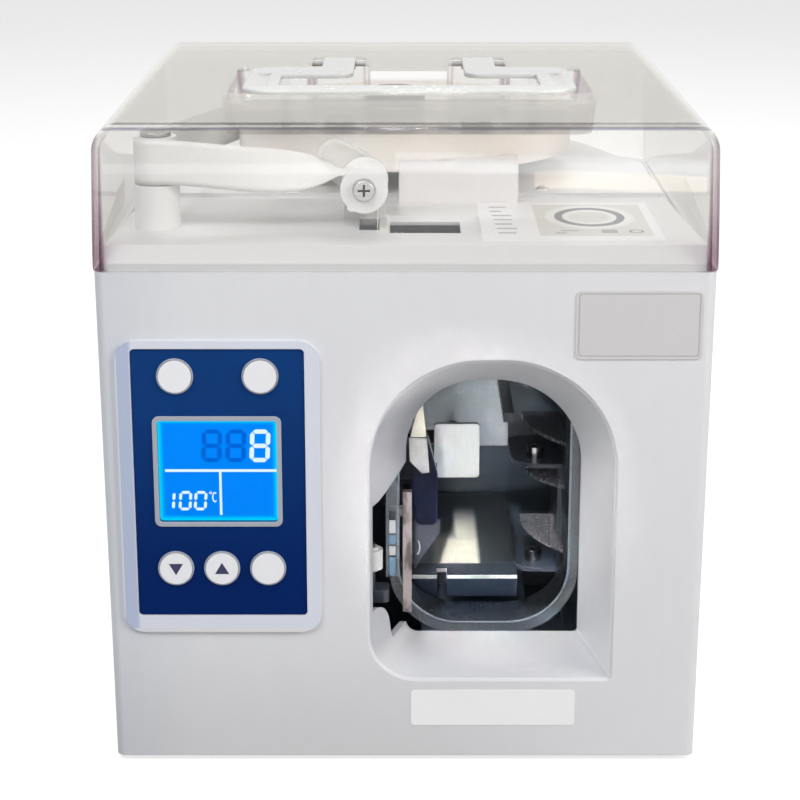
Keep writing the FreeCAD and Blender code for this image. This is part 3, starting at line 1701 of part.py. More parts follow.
def sealing_bar_feet():
    """Spacers from the sealing bar back to the track and across to the chute."""
    x0 = chute_width - chute_left + sealing_gap
    y1 = -track_front - sealing_setback
    upper = sealing_bottom + sealing_height - sealing_foot_drop
    low = block(x0, x0 + sealing_width, y1, -track_front, sealing_bottom,
                sealing_bottom + sealing_foot_height)
    high = block(x0 - sealing_gap, x0, y1 - sealing_depth, y1, upper - sealing_foot_height, upper)
    return [low, high]


def tape_chute():
    """Clear channel that leads the tape down beside the track."""
    y1 = -track_front
    y0 = y1 - chute_depth
    x0 = -chute_left
    x1 = x0 + chute_width
    top = chute_bottom + chute_height
    form = block(x0, x1, y0, y1, chute_bottom, top)
    inner = block(x0 + chute_wall, x1 - chute_wall, y0 - overrun, y1 - chute_wall, chute_bottom - overrun,
                  top + overrun)
    return form.cut(inner)


def idler_roller():
    """White roller on an upright pin, with a collar above and below."""
    x, y = -idler_x, -idler_y
    top = idler_bottom + idler_height
    body = rod(idler_radius, Vector(x, y, idler_bottom), Vector(x, y, top))
    collar = rod(idler_collar_radius, Vector(x, y, idler_bottom - idler_collar_height),
                 Vector(x, y, top + idler_collar_height))
    return join([body, collar]).cut(rod(idler_pin_radius + run_gap, Vector(x, y, 0),
                                        Vector(x, y, body_height)))


def idler_pin():
    """Black pin of the idler roller."""
    x, y = -idler_x, -idler_y
    return rod(idler_pin_radius, Vector(x, y, idler_pin_bottom),
               Vector(x, y, idler_bottom + idler_height + 2 * idler_collar_height + seat_gap))


def feeder_bracket():
    """Dark bracket from the left plate that holds the idler's pin."""
    y0 = -idler_y - feeder_bracket_depth / 2
    x1 = -idler_x + feeder_bracket_reach
    low = idler_pin_bottom
    arm = plan_prism(-left_plate_x, x1, y0, y0 + feeder_bracket_depth, low, low + feeder_bracket_height,
                     [0, feeder_bracket_depth / 4, feeder_bracket_depth / 4, 0])
    return arm.cut(rod(idler_pin_radius, Vector(-idler_x, -idler_y, 0),
                       Vector(-idler_x, -idler_y, body_height)))


# Fins and bracket on the bay's right side

def fin_carrier():
    """Upright block on the right plate that carries the fins."""
    return block(carrier_left, right_plate_x, -carrier_front, -carrier_back, carrier_bottom, carrier_top)


def guide_fins():
    """Smoky fins, each a level plate with one curved edge."""
    fins = []
    for height, share in zip(fin_heights, fin_length_shares):
        front = -fin_back - (fin_front - fin_back) * share
        tip = Vector(carrier_left - fin_tip_reach, -fin_back, height)
        root = Vector(carrier_left, -fin_back, height)
        end = Vector(carrier_left, front, height)
        bulge = Vector(carrier_left - fin_tip_reach * fin_bulge_shares[0],
                       -fin_back + (front + fin_back) * fin_bulge_shares[1], height)
        outline = Part.Wire([
            Part.LineSegment(end, root).toShape(),
            Part.LineSegment(root, tip).toShape(),
            Part.Arc(tip, bulge, end).toShape(),
        ])
        fins.append(prism(outline, Vector(0, 0, fin_thickness)))
    return fins


def lobe_bracket():
    """Dark bracket with an upper and a lower lobe on one web."""
    x1 = carrier_left
    x0 = x1 - lobe_reach
    lobes = []
    for z in (lobe_lower, lobe_upper):
        lobes.append(plan_prism(x0, x1, -lobe_front, lobe_back, z, z + lobe_thickness,
                                [lobe_front_radius, 0, 0, lobe_corner_radius]))
    web = block(x1 - lobe_web, x1, -lobe_front, lobe_back, lobe_lower, lobe_upper + lobe_thickness)
    middle = [height for height in fin_heights if lobe_lower < height < lobe_upper]
    bracket = join(lobes + [web])
    for height in middle:
        slot = block(x1 - lobe_web - overrun, x1 + overrun, -lobe_front - overrun, lobe_back + overrun,
                     height - slip_gap, height + fin_thickness + slip_gap)
        bracket = bracket.cut(slot)
    return bracket


def bracket_nuts():
    """Bright round nuts on the lobes."""
    nuts = []
    x = carrier_left - nut_inset
    for z in (lobe_lower + lobe_thickness, lobe_upper + lobe_thickness):
        nuts.append(tube(nut_radius, nut_bore, Vector(x, -nut_y, z), Vector(x, -nut_y, z + nut_height)))
    return nuts


# Tape feed

def gear_outline(teeth, phase):
    """Outline of a small gear with straight tooth flanks, in the plane of X and Z."""
    pitch = gear_module * teeth / 2
    outer = pitch + gear_module * tooth_shares["addendum"]
    root = pitch - gear_module * tooth_shares["dedendum"]
    step = 2 * pi / teeth
    points = []
    for index in range(teeth):
        centre = phase + index * step
        for radius, share in ((root, -tooth_shares["root"]), (outer, -tooth_shares["tip"]),
                              (outer, tooth_shares["tip"]), (root, tooth_shares["root"])):
            angle = centre + share * step
            points.append(Vector(radius * cos(angle), 0, radius * sin(angle)))
    return rounded_wire(points, [0] * len(points))


def gear(teeth, phase, x, z, y0, bore):
    """Small gear with a bore along Y."""
    body = prism(gear_outline(teeth, phase), Vector(0, gear_width, 0))
    body.translate(Vector(x, y0, z))
    return body.cut(rod(bore, Vector(x, y0 - overrun, z), Vector(x, y0 + gear_width + overrun, z)))


def feed_plate_span():
    """Front and back faces of the two feed plates."""
    front = tape_y - feed_drum_length / 2 - feed_plate_gap
    back = tape_y + feed_drum_length / 2 + feed_plate_gap
    return front, back


def pinion_place():
    """Centre of the motor pinion beside the gear."""
    distance = gear_module * (gear_teeth + pinion_teeth) / 2
    angle = radians(gear_angle)
    return feed_x + distance * cos(angle), feed_z + distance * sin(angle)


def feed_plates():
    """Two plates that carry the feed drum and the pinch roller."""
    front, back = feed_plate_span()
    plates = []
    low = feed_z - feed_plate_height / 2
    for y0, y1 in ((front - feed_plate_thickness, front), (back, back + feed_plate_thickness)):
        plate = block(-left_plate_x, feed_plate_right, y0, y1, low, deck_low)
        plate = plate.cut(rod(feed_shaft_radius + run_gap, Vector(feed_x, y0 - overrun, feed_z),
                              Vector(feed_x, y1 + overrun, feed_z)))
        plates.append(plate.cut(rod(pinch_shaft_radius + run_gap, Vector(pinch_x, y0 - overrun, feed_z),
                                    Vector(pinch_x, y1 + overrun, feed_z))))
    return plates


def feed_drum():
    """Drum that pulls the tape, with its shaft."""
    front, back = feed_plate_span()
    drum = rod(feed_drum_radius, Vector(feed_x, front + feed_plate_gap, feed_z),
               Vector(feed_x, back - feed_plate_gap, feed_z))
    end = back + feed_plate_thickness + gear_gap + gear_width
    shaft = rod(feed_shaft_radius, Vector(feed_x, front - feed_plate_thickness, feed_z),
                Vector(feed_x, end, feed_z))
    return join([drum, shaft])


def drive_gear():
    """Gear on the feed drum's shaft."""
    back = feed_plate_span()[1] + feed_plate_thickness + gear_gap
    phase = radians(gear_angle) + pi / gear_teeth
    return gear(gear_teeth, phase, feed_x, feed_z, back, feed_shaft_radius)


def pinch_roller():
    """Roller that presses the tape on the drum."""
    front, back = feed_plate_span()
    roller = rod(pinch_radius, Vector(pinch_x, front + feed_plate_gap, feed_z),
                 Vector(pinch_x, back - feed_plate_gap, feed_z))
    shaft = rod(pinch_shaft_radius, Vector(pinch_x, front - feed_plate_thickness, feed_z),
                Vector(pinch_x, back + feed_plate_thickness, feed_z))
    return join([roller, shaft])


def motor_pinion():
    """Pinion with the motor's shaft."""
    x, z = pinion_place()
    back = feed_plate_span()[1] + feed_plate_thickness + gear_gap
    end = back + gear_width + motor_gap
    phase = radians(gear_angle) + pi
    wheel = prism(gear_outline(pinion_teeth, phase), Vector(0, gear_width, 0))
    wheel.translate(Vector(x, back, z))
    return join([wheel, rod(motor_shaft_radius, Vector(x, back, z), Vector(x, end + motor_gap, z))])


def feed_motor():
    """Motor that drives the feed."""
    x, z = pinion_place()
    start = feed_plate_span()[1] + feed_plate_thickness + gear_gap + gear_width + motor_gap
    body = rod(motor_radius, Vector(x, start, z), Vector(x, start + motor_length, z))
    return body.cut(rod(motor_shaft_radius + run_gap, Vector(x, start - overrun, z),
                        Vector(x, start + motor_gap + seat_gap, z)))


def motor_bracket():
    """Bracket from the left plate that holds the motor."""
    x, z = pinion_place()
    start = feed_plate_span()[1] + feed_plate_thickness + gear_gap + gear_width + motor_gap
    y0 = start + motor_length - motor_saddle_thickness
    plate = block(-left_plate_x, x + motor_radius / 2, y0, y0 + motor_saddle_thickness,
                  z - motor_radius / 2, z + motor_radius / 2)
    return plate.cut(rod(motor_radius + slip_gap, Vector(x, y0 - overrun, z), Vector(x, y0 + overrun, z)))


# Boards and power

def power_supply():
    """Power supply box on the base plate."""
    x1 = -left_plate_x - plate_thickness - supply_plate_gap
    return block(-supply_left, x1, supply_front, supply_front + supply_depth, base_top,
                 base_top + supply_height)


def main_board():
    """Main board beside the left plate."""
    x1 = -left_plate_x - plate_thickness - main_board_gap
    return block(x1 - board_thickness, x1, -main_board_front, -main_board_front + main_board_depth,
                 main_board_bottom, main_board_bottom + main_board_height)


def board_spacers():
    """Spacers between the left plate and the main board."""
    spacers = []
    x1 = -left_plate_x - plate_thickness
    for y in (-main_board_front + spacer_inset, -main_board_front + main_board_depth - spacer_inset):
        for z in (main_board_bottom + spacer_inset, main_board_bottom + main_board_height - spacer_inset):
            spacers.append(rod(spacer_radius, Vector(x1 - main_board_gap, y, z), Vector(x1, y, z)))
    return spacers


def power_inlet():
    """Flanged inlet socket with its three blades."""
    x, z = -inlet_x, inlet_z
    flange = block(x - inlet_width / 2 - inlet_flange, x + inlet_width / 2 + inlet_flange, body_back,
                   body_back + inlet_flange_thickness, z - inlet_height / 2 - inlet_flange_end,
                   z + inlet_height / 2 + inlet_flange_end)
    body = block(x - inlet_width / 2, x + inlet_width / 2, body_back - inlet_depth, body_back,
                 z - inlet_height / 2, z + inlet_height / 2)
    face = body_back + inlet_flange_thickness
    socket = face_prism(x - socket_width / 2, x + socket_width / 2, z - socket_height / 2,
                        z + socket_height / 2,
                        face - socket_depth, face + overrun, [0, 0, socket_height / 4, socket_height / 4])
    inlet = join([flange, body]).cut(socket)
    floor = face - socket_depth
    blades = []
    for dx, dz in ((-prong_spacing, -prong_offset / 2), (0, prong_offset / 2),
                   (prong_spacing, -prong_offset / 2)):
        blades.append(block(x + dx - prong_thickness / 2, x + dx + prong_thickness / 2, floor,
                            floor + prong_length,
                            z + dz - prong_width / 2, z + dz + prong_width / 2))
    return join([inlet] + blades)


def switch_frame():
    """Frame of the power switch."""
    x, z = -switch_x, inlet_z
    half, tall = rocker_width / 2, rocker_height / 2
    body = block(x - half - switch_border / 2, x + half + switch_border / 2, body_back - switch_depth,
                 body_back,
                 z - tall - switch_border / 2, z + tall + switch_border / 2)
    flange = block(x - half - switch_border, x + half + switch_border, body_back,
                   body_back + inlet_flange_thickness, z - tall - switch_border, z + tall + switch_border)
    well = block(x - half - slip_gap, x + half + slip_gap, body_back - switch_depth + wall,
                 body_back + overrun,
                 z - tall - slip_gap * 2, z + tall + slip_gap * 2)
    axle = rod(rocker_pin_radius, Vector(x - half - switch_border / 2, rocker_axis_y(), z),
               Vector(x + half + switch_border / 2, rocker_axis_y(), z))
    return join([join([body, flange]).cut(well), axle])


def rocker_axis_y():
    """Depth of the rocker's axle."""
    return body_back - rocker_depth / 2


def switch_rocker():
    """Rocker on its axle, tilted to the off side."""
    x, z = -switch_x, inlet_z
    half, tall = rocker_width / 2, rocker_height / 2 - slip_gap * 2
    y1 = body_back + inlet_flange_thickness / 2
    cap = block(x - half, x + half, rocker_axis_y(), y1, z - tall, z + tall)
    hub = rod(rocker_depth / 2, Vector(x - half, rocker_axis_y(), z), Vector(x + half, rocker_axis_y(), z))
    rocker = join([cap, hub]).cut(rod(rocker_pin_radius + run_gap,
                                      Vector(x - body_width, rocker_axis_y(), z),
                                      Vector(x + body_width, rocker_axis_y(), z)))
    rocker.rotate(Vector(x, rocker_axis_y(), z), Vector(1, 0, 0), rocker_tilt / 2)
    return rocker


def housing_screws():
    """Screws in the rear cover."""
    screws = []
    for x in (-half_width + rear_screw_inset, half_width - rear_screw_inset):
        for z in (rear_screw_low, body_height - rear_screw_drop):
            screws.append(Part.makeCone(housing_screw_radius, housing_screw_radius / 2, housing_screw_height,
                                        Vector(x, body_back, z), Vector(0, 1, 0)))
    return screws


def label_sheets():
    """Notice label on the front cover and deck label on the deck."""
    notice = face_prism(notice_left, notice_left + notice_width, notice_bottom,
                        notice_bottom + notice_height,
                        front_y - label_thickness, front_y, [notice_radius] * 4)
    deck = block(deck_label_left, half_width - deck_label_side_gap, -deck_label_front,
                 sensor_front_y - seat_gap,
                 deck_top, deck_top + label_thickness)
    return notice, deck


def single_pieces():
    """Nodes of one solid each."""
    return {
        "front_cover": front_cover(),
        "rear_cover": rear_cover(),
        "base_plate": base_plate(),
        "top_deck": top_deck(),
        "control_panel": control_panel(),
        "display_window": display_window(),
        "display_module": display_module(),
        "badge_plate": badge_plate(),
        "reel_spindle": reel_spindle(),
        "reel_hub": reel_hub(),
        "tape_roll": tape_roll(),
        "guide_post": guide_post(),
        "guide_sleeve": guide_sleeve(),
        "guide_roller": guide_roller(),
        "tape_guard": tape_guard(),
        "roller_bracket": roller_bracket(),
        "sensor_block": sensor_block(),
        "dust_cover": dust_cover(),
        "carry_handle": carry_handle(),
        "back_plate": back_plate(),
        "note_tray": note_tray(),
        "loop_track": loop_track(),
        "track_liner": track_liner(),
        "stop_plate": stop_plate(),
        "stop_rod": stop_rod(),
        "clamp_block": clamp_block(),
        "clamp_arm": clamp_arm(),
        "clamp_tip": clamp_tip(),
        "tape_chute": tape_chute(),
        "idler_roller": idler_roller(),
        "feed_drum": feed_drum(),
        "drive_gear": drive_gear(),
        "pinch_roller": pinch_roller(),
        "motor_pinion": motor_pinion(),
        "feed_motor": feed_motor(),
        "power_supply": power_supply(),
        "power_inlet": power_inlet(),
        "switch_frame": switch_frame(),
        "switch_rocker": switch_rocker(),
    }


def grouped_pieces():
    """Nodes of several separate solids."""
    return {
        "side_covers": [side_cover(-1), side_cover(1)],
        "rubber_feet": rubber_feet(),
        "panel_rings": [display_frame()] + button_rings(),
        "circuit_boards": [control_board(), main_board()] + tact_switches() + board_posts() + board_spacers(),
        "labels": list(label_sheets()),
        "steel_pins": [post_pin(), roller_axle()] + hinge_pins(),
        "fasteners": [roller_screw()] + deck_screws() + housing_screws() + bracket_nuts(),
        "tape_web": tape_web(),
        "inner_frame": [left_frame_plate(), right_frame_plate(), top_beam(), rear_screen(), pedestal(),
                        stop_guide(), clamp_guide()] + tray_posts(),
        "press_head": [press_head(), side_rail()],
        "sealing_bar": [sealing_bar()] + sealing_bar_feet(),
        "feeder_bracket": [feeder_bracket(), idler_pin()],
        "fin_carrier": [fin_carrier(), lobe_bracket()],
        "guide_fins": guide_fins(),
        "feed_frame": feed_plates() + [motor_bracket()],
        "cover_hinges": body_knuckles(),
    }


def main():
    """Build and write every node."""
    os.makedirs("parts", exist_ok=True)
    for name, shape in single_pieces().items():
        save(name, shape)
    for name, (x, z) in button_places().items():
        save(name, push_button(x, z))
    for name, shapes in grouped_pieces().items():
        save_group(name, shapes)


main()
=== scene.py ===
"""Finishes, fine details and studio of a desk machine that straps banknotes with paper tape."""
import logging
import math
import random
from dataclasses import dataclass
from enum import Enum
from typing import Any, Iterable, Sequence

import bmesh
import bpy
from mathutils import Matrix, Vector


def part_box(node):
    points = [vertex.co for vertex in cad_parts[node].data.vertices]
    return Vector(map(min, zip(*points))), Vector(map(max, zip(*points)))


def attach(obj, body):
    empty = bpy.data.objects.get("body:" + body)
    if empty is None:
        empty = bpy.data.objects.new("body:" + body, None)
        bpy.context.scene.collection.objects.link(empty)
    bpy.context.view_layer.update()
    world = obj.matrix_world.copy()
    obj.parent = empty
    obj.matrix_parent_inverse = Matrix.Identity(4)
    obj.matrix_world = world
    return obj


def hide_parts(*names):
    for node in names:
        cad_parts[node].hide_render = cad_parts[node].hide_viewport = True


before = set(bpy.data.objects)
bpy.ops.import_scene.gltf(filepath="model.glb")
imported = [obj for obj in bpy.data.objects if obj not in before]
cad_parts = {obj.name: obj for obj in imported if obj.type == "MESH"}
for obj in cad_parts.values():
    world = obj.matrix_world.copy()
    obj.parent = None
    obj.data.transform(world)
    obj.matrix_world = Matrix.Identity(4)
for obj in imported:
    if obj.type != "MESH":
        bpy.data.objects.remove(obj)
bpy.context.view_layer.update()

MM = 0.001
LOG = logging.getLogger("strapper")

Colour = tuple[float, float, float]
Point = tuple[float, float]
Place = tuple[float, float, float]
Frame = tuple[float, float, float, float]

WHITE: Colour = (1.0, 1.0, 1.0)
BLACK: Colour = (0.0, 0.0, 0.0)
XY = (0, 1)
XZ = (0, 2)
NOISE_ROUGHNESS = 0.55
EDGE_RANGE: Point = (0.005, 0.12)
BEVEL_SAMPLES = 4
GLEAM_POWER = 5.0


class Body(Enum):
    """The moving bodies that pieces ride on."""

    ROOT = "root"
    REEL = "tape_reel"
    CLAMP = "clamp"
    LOWER_HEAT = "lower_heat_button"
    RAISE_HEAT = "raise_heat_button"


class Slot(Enum):
    """Names of the record's material slots."""

    PANEL = "panel_navy"
    DISPLAY = "display_blue"
    LABEL = "label_white"
    TAPE = "paper_tape"
    STEEL = "steel_bright"
    CHUTE = "track_clear"
    GALVANISED = "galvanised_steel"


class Socket:
    """A shader value; a sum on it adds the Math nodes."""

    def __init__(self, graph: "Graph", link: bpy.types.NodeSocket) -> None:
        """Keep the graph and the node socket."""
        self.graph = graph
        self.link = link

    def math(self, operation: str, *values: "Socket | float") -> "Socket":
        """Add one Math node."""
        return self.graph.node("ShaderNodeMath", {"operation": operation}, dict(enumerate(values)))

    def __add__(self, other: "Socket | float") -> "Socket":
        """Sum."""
        return self.math("ADD", self, other)

    __radd__ = __add__

    def __sub__(self, other: "Socket | float") -> "Socket":
        """Difference."""
        return self.math("SUBTRACT", self, other)

    def __rsub__(self, other: float) -> "Socket":
        """Difference from a number."""
        return self.math("SUBTRACT", other, self)

    def __mul__(self, other: "Socket | float") -> "Socket":
        """Product."""
        return self.math("MULTIPLY", self, other)

    __rmul__ = __mul__

    def __pow__(self, other: float) -> "Socket":
        """Power."""
        return self.math("POWER", self, other)

    def __gt__(self, other: "Socket | float") -> "Socket":
        """One where this is more, else zero."""
        return self.math("GREATER_THAN", self, other)

    def __lt__(self, other: "Socket | float") -> "Socket":
        """One where this is less, else zero."""
        return self.math("LESS_THAN", self, other)

    def __abs__(self) -> "Socket":
        """Size without sign."""
        return self.math("ABSOLUTE", self)

    def sine(self) -> "Socket":
        """Sine."""
        return self.math("SINE", self)

    def least(self, other: "Socket | float") -> "Socket":
        """The smaller of two."""
        return self.math("MINIMUM", self, other)

    def most(self, other: "Socket | float") -> "Socket":
        """The larger of two."""
        return self.math("MAXIMUM", self, other)

    def rise(self, low: float, high: float) -> "Socket":
        """Smooth step."""
        return self.graph.node("ShaderNodeMapRange", {"interpolation_type": "SMOOTHSTEP"},
                               {0: self, 1: low, 2: high, 3: 0.0, 4: 1.0})

    def ramp(self, low: float, high: float) -> "Socket":
        """Smooth step between two lengths in millimetres."""
        return self.rise(low * MM, high * MM)

    def wave(self, pitch: float) -> "Socket":
        """Sine wave with a pitch in millimetres."""
        return (self * (2 * math.pi / (pitch * MM))).sine()


class Graph:
    """The node tree of one material or world."""

    def __init__(self, tree: bpy.types.NodeTree) -> None:
        """Start from an empty tree."""
        self.tree = tree
        tree.nodes.clear()

    def node(self, kind: str, settings: dict[str, Any], inputs: dict[int | str, Any],
             output: int | str = 0) -> Socket:
        """Add any node.

        Args:
            kind: The node's type.
            settings: Its properties.
            inputs: The values or links of its sockets.
            output: Which output is given back.

        Returns:
            The output socket.
        """
        node = self.tree.nodes.new(kind)
        for name, value in settings.items():
            setattr(node, name, value)
        for name, value in inputs.items():
            if isinstance(value, Socket):
                self.tree.links.new(value.link, node.inputs[name])
            else:
                node.inputs[name].default_value = value
        return Socket(self, node.outputs[output]) if node.outputs else Socket(self, node.inputs[0])

    def place(self) -> Socket:
        """Place on the piece, in metres."""
        return self.node("ShaderNodeTexCoord", {}, {}, "Object")

    def apart(self, vector: Socket) -> tuple[Socket, Socket, Socket]:
        """The three values of a vector."""
        parts = self.node("ShaderNodeSeparateXYZ", {}, {0: vector}).link.node
        return tuple(Socket(self, output) for output in parts.outputs)

    def axes(self) -> tuple[Socket, Socket, Socket]:
        """The place's three coordinates."""
        return self.apart(self.place())

    def off_axis(self, centre: Point, kept: tuple[int, int]) -> Socket:
        """Square of the distance from an axis.

        Args:
            centre: Where the axis is, in millimetres.
            kept: The two directions across it.

        Returns:
            The square, in metres.
        """
        axes = self.axes()
        first, second = (axes[index] - value * MM for index, value in zip(kept, centre))
        return first * first + second * second

    def times(self, first: Any, second: Any) -> Socket:
        """Two colours or vectors multiplied."""
        return self.node("ShaderNodeVectorMath", {"operation": "MULTIPLY"}, {0: first, 1: second})

    def stretched(self, shares: Colour) -> Socket:
        """The place, with each axis scaled."""
        return self.times(self.place(), shares)

    def noise(self, size: float, detail: float = 2.0, at: Socket | None = None) -> Socket:
        """Soft random tone."""
        return self.node("ShaderNodeTexNoise", {}, {"Vector": at or self.place(), "Scale": 1 / (size * MM),
                                                    "Detail": detail, "Roughness": NOISE_ROUGHNESS})

    def wobble(self, size: float, detail: float = 2.0, at: Socket | None = None) -> Socket:
        """Soft random tone like noise, from -0.5 to 0.5."""
        return self.noise(size, detail, at) - 0.5

    def cells(self, size: float) -> Socket:
        """Random grey per crystal-like cell.

        Args:
            size: Width of a cell, in millimetres.

        Returns:
            A value from 0 to 1.
        """
        inputs = {"Vector": self.place(), "Scale": 1 / (size * MM)}
        colour = self.node("ShaderNodeTexVoronoi", {}, inputs, "Color")
        return self.node("ShaderNodeSeparateColor", {}, {0: colour})

    def mix(self, share: Socket | float, first: Any, second: Any) -> Socket:
        """Blend two colours."""
        colours = [value if isinstance(value, Socket) else (*value, 1.0) for value in (first, second)]
        return self.node("ShaderNodeMix", {"data_type": "RGBA"}, {0: share, 6: colours[0], 7: colours[1]}, 2)

    def toned(self, colour: Any, tone: Socket) -> Socket:
        """A colour made lighter or darker."""
        return self.node("ShaderNodeVectorMath", {"operation": "SCALE"}, {0: colour, 3: tone})

    def rounded(self, radius: float) -> Socket:
        """Surface direction with softened edges."""
        return self.node("ShaderNodeBevel", {"samples": BEVEL_SAMPLES}, {0: radius * MM})

    def edge(self, rounded: Socket) -> Socket:
        """Mask of the edges.

        Args:
            rounded: The softened direction.

        Returns:
            1 on an edge and 0 away from it.
        """
        flat = self.node("ShaderNodeNewGeometry", {}, {}, "True Normal")
        same = self.node("ShaderNodeVectorMath", {"operation": "DOT_PRODUCT"}, {0: rounded, 1: flat}, 1)
        return (1 - same).rise(*EDGE_RANGE)

    def bump(self, height: Socket, depth: float, base: Socket | None = None) -> Socket:
        """Fine relief.

        Args:
            height: Relief from 0 to 1.
            depth: Its depth, in millimetres.
            base: The direction under it.

        Returns:
            The direction with the relief.
        """
        inputs = {"Height": height, "Distance": depth * MM, "Strength": 1.0}
        if base is not None:
            inputs["Normal"] = base
        return self.node("ShaderNodeBump", {}, inputs)

    def direction(self) -> tuple[Socket, Socket, Socket]:
        """The surface's direction on the piece, as three values."""
        return self.apart(self.node("ShaderNodeTexCoord", {}, {}, "Normal"))

    def facing(self) -> Socket:
        """0 where the surface is seen face on, 1 where it is seen from its edge."""
        return self.node("ShaderNodeLayerWeight", {}, {0: 0.5}, "Facing")

    def gleam(self, least: float) -> Socket:
        """How strongly a clear surface mirrors, the same from inside and outside."""
        return least + (self.facing() ** GLEAM_POWER) * (1.0 - least)

    def principled(self, colour: Any, roughness: Any, **inputs: Any) -> Socket:
        """The general surface shader.

        Args:
            colour: Base colour.
            roughness: Roughness.
            inputs: Other sockets, with underscores for spaces.

        Returns:
            The shader.
        """
        sockets = {name.replace("_", " "): value for name, value in inputs.items()}
        sockets["Base Color"] = colour if isinstance(colour, Socket) else (*colour, 1.0)
        sockets["Roughness"] = roughness
        if isinstance(sockets.get("Emission Color"), tuple):
            sockets["Emission Color"] = (*sockets["Emission Color"], 1.0)
        return self.node("ShaderNodeBsdfPrincipled", {}, sockets)

    def clear(self, tint: Colour) -> Socket:
        """Shader that lets light straight through, tinted."""
        return self.node("ShaderNodeBsdfTransparent", {}, {0: (*tint, 1.0)})

    def blend(self, share: Socket | float, first: Socket, second: Socket) -> Socket:
        """Blend two shaders."""
        return self.node("ShaderNodeMixShader", {}, {0: share, 1: first, 2: second})

    def end(self, kind: str, shader: Socket) -> None:
        """Join a shader to the output node."""
        self.node(kind, {}, {0: shader})


@dataclass(frozen=True)
class Finish:
    """What every finish has: a name and a way to paint it."""

    name: str

    def paint(self, graph: Graph) -> Socket:
        """Build the shader in a graph."""
        raise NotImplementedError

    def material(self) -> bpy.types.Material:
        """The finish as a material, made once.

        Returns:
            The material.
        """
        made = bpy.data.materials.get(self.name)
        if made is None:
            made = bpy.data.materials.new(self.name)
            made.use_nodes = True
            graph = Graph(made.node_tree)
            graph.end("ShaderNodeOutputMaterial", self.paint(graph))
        return made


@dataclass(frozen=True)
class MouldedPlastic(Finish):
    """Moulded plastic with a fine sparked texture, soft edges and a painted highlight along its edges."""

    colour: Colour
    roughness: float = 0.34
    grain: float = 0.012
    grain_size: float = 0.7
    cloud: float = 0.035
    cloud_size: float = 60.0
    edge_radius: float = 0.5
    # lightens the colour along the edges: a painted highlight
    edge_highlight: float = 0.05
    coat: float = 0.0
    specular: float = 0.5
    scuff_size: float = 6.0
    scuff_shares: Colour = (1.0, 1.0, 0.35)
    cloud_rough: float = 0.10
    scuff_rough: float = 0.12
    edge_rough: float = -0.06
    coat_roughness: float = 0.12

    def paint(self, graph: Graph) -> Socket:
        """Build the shader in a graph.

        Args:
            graph: The graph.

        Returns:
            The shader.
        """
        cloud = graph.wobble(self.cloud_size, 3.0)
        fine = graph.noise(self.grain_size)
        scuff = graph.wobble(self.scuff_size, 4.0, graph.stretched(self.scuff_shares))
        soft = graph.rounded(self.edge_radius)
        edge = graph.edge(soft)
        # the edge term is a painted highlight along the edges
        tone = 1 + cloud * (2 * self.cloud) + edge * self.edge_highlight - scuff * self.cloud
        rough = self.roughness + cloud * self.cloud_rough + scuff * self.scuff_rough + edge * self.edge_rough
        colour = graph.toned(self.ground(graph), tone)
        return graph.principled(colour, rough, Normal=graph.bump(fine, self.grain, soft),
                                Coat_Weight=self.coat, Coat_Roughness=self.coat_roughness,
                                Specular_IOR_Level=self.specular)

    def ground(self, graph: Graph) -> Any:
        """The plastic's own colour."""
        return self.colour


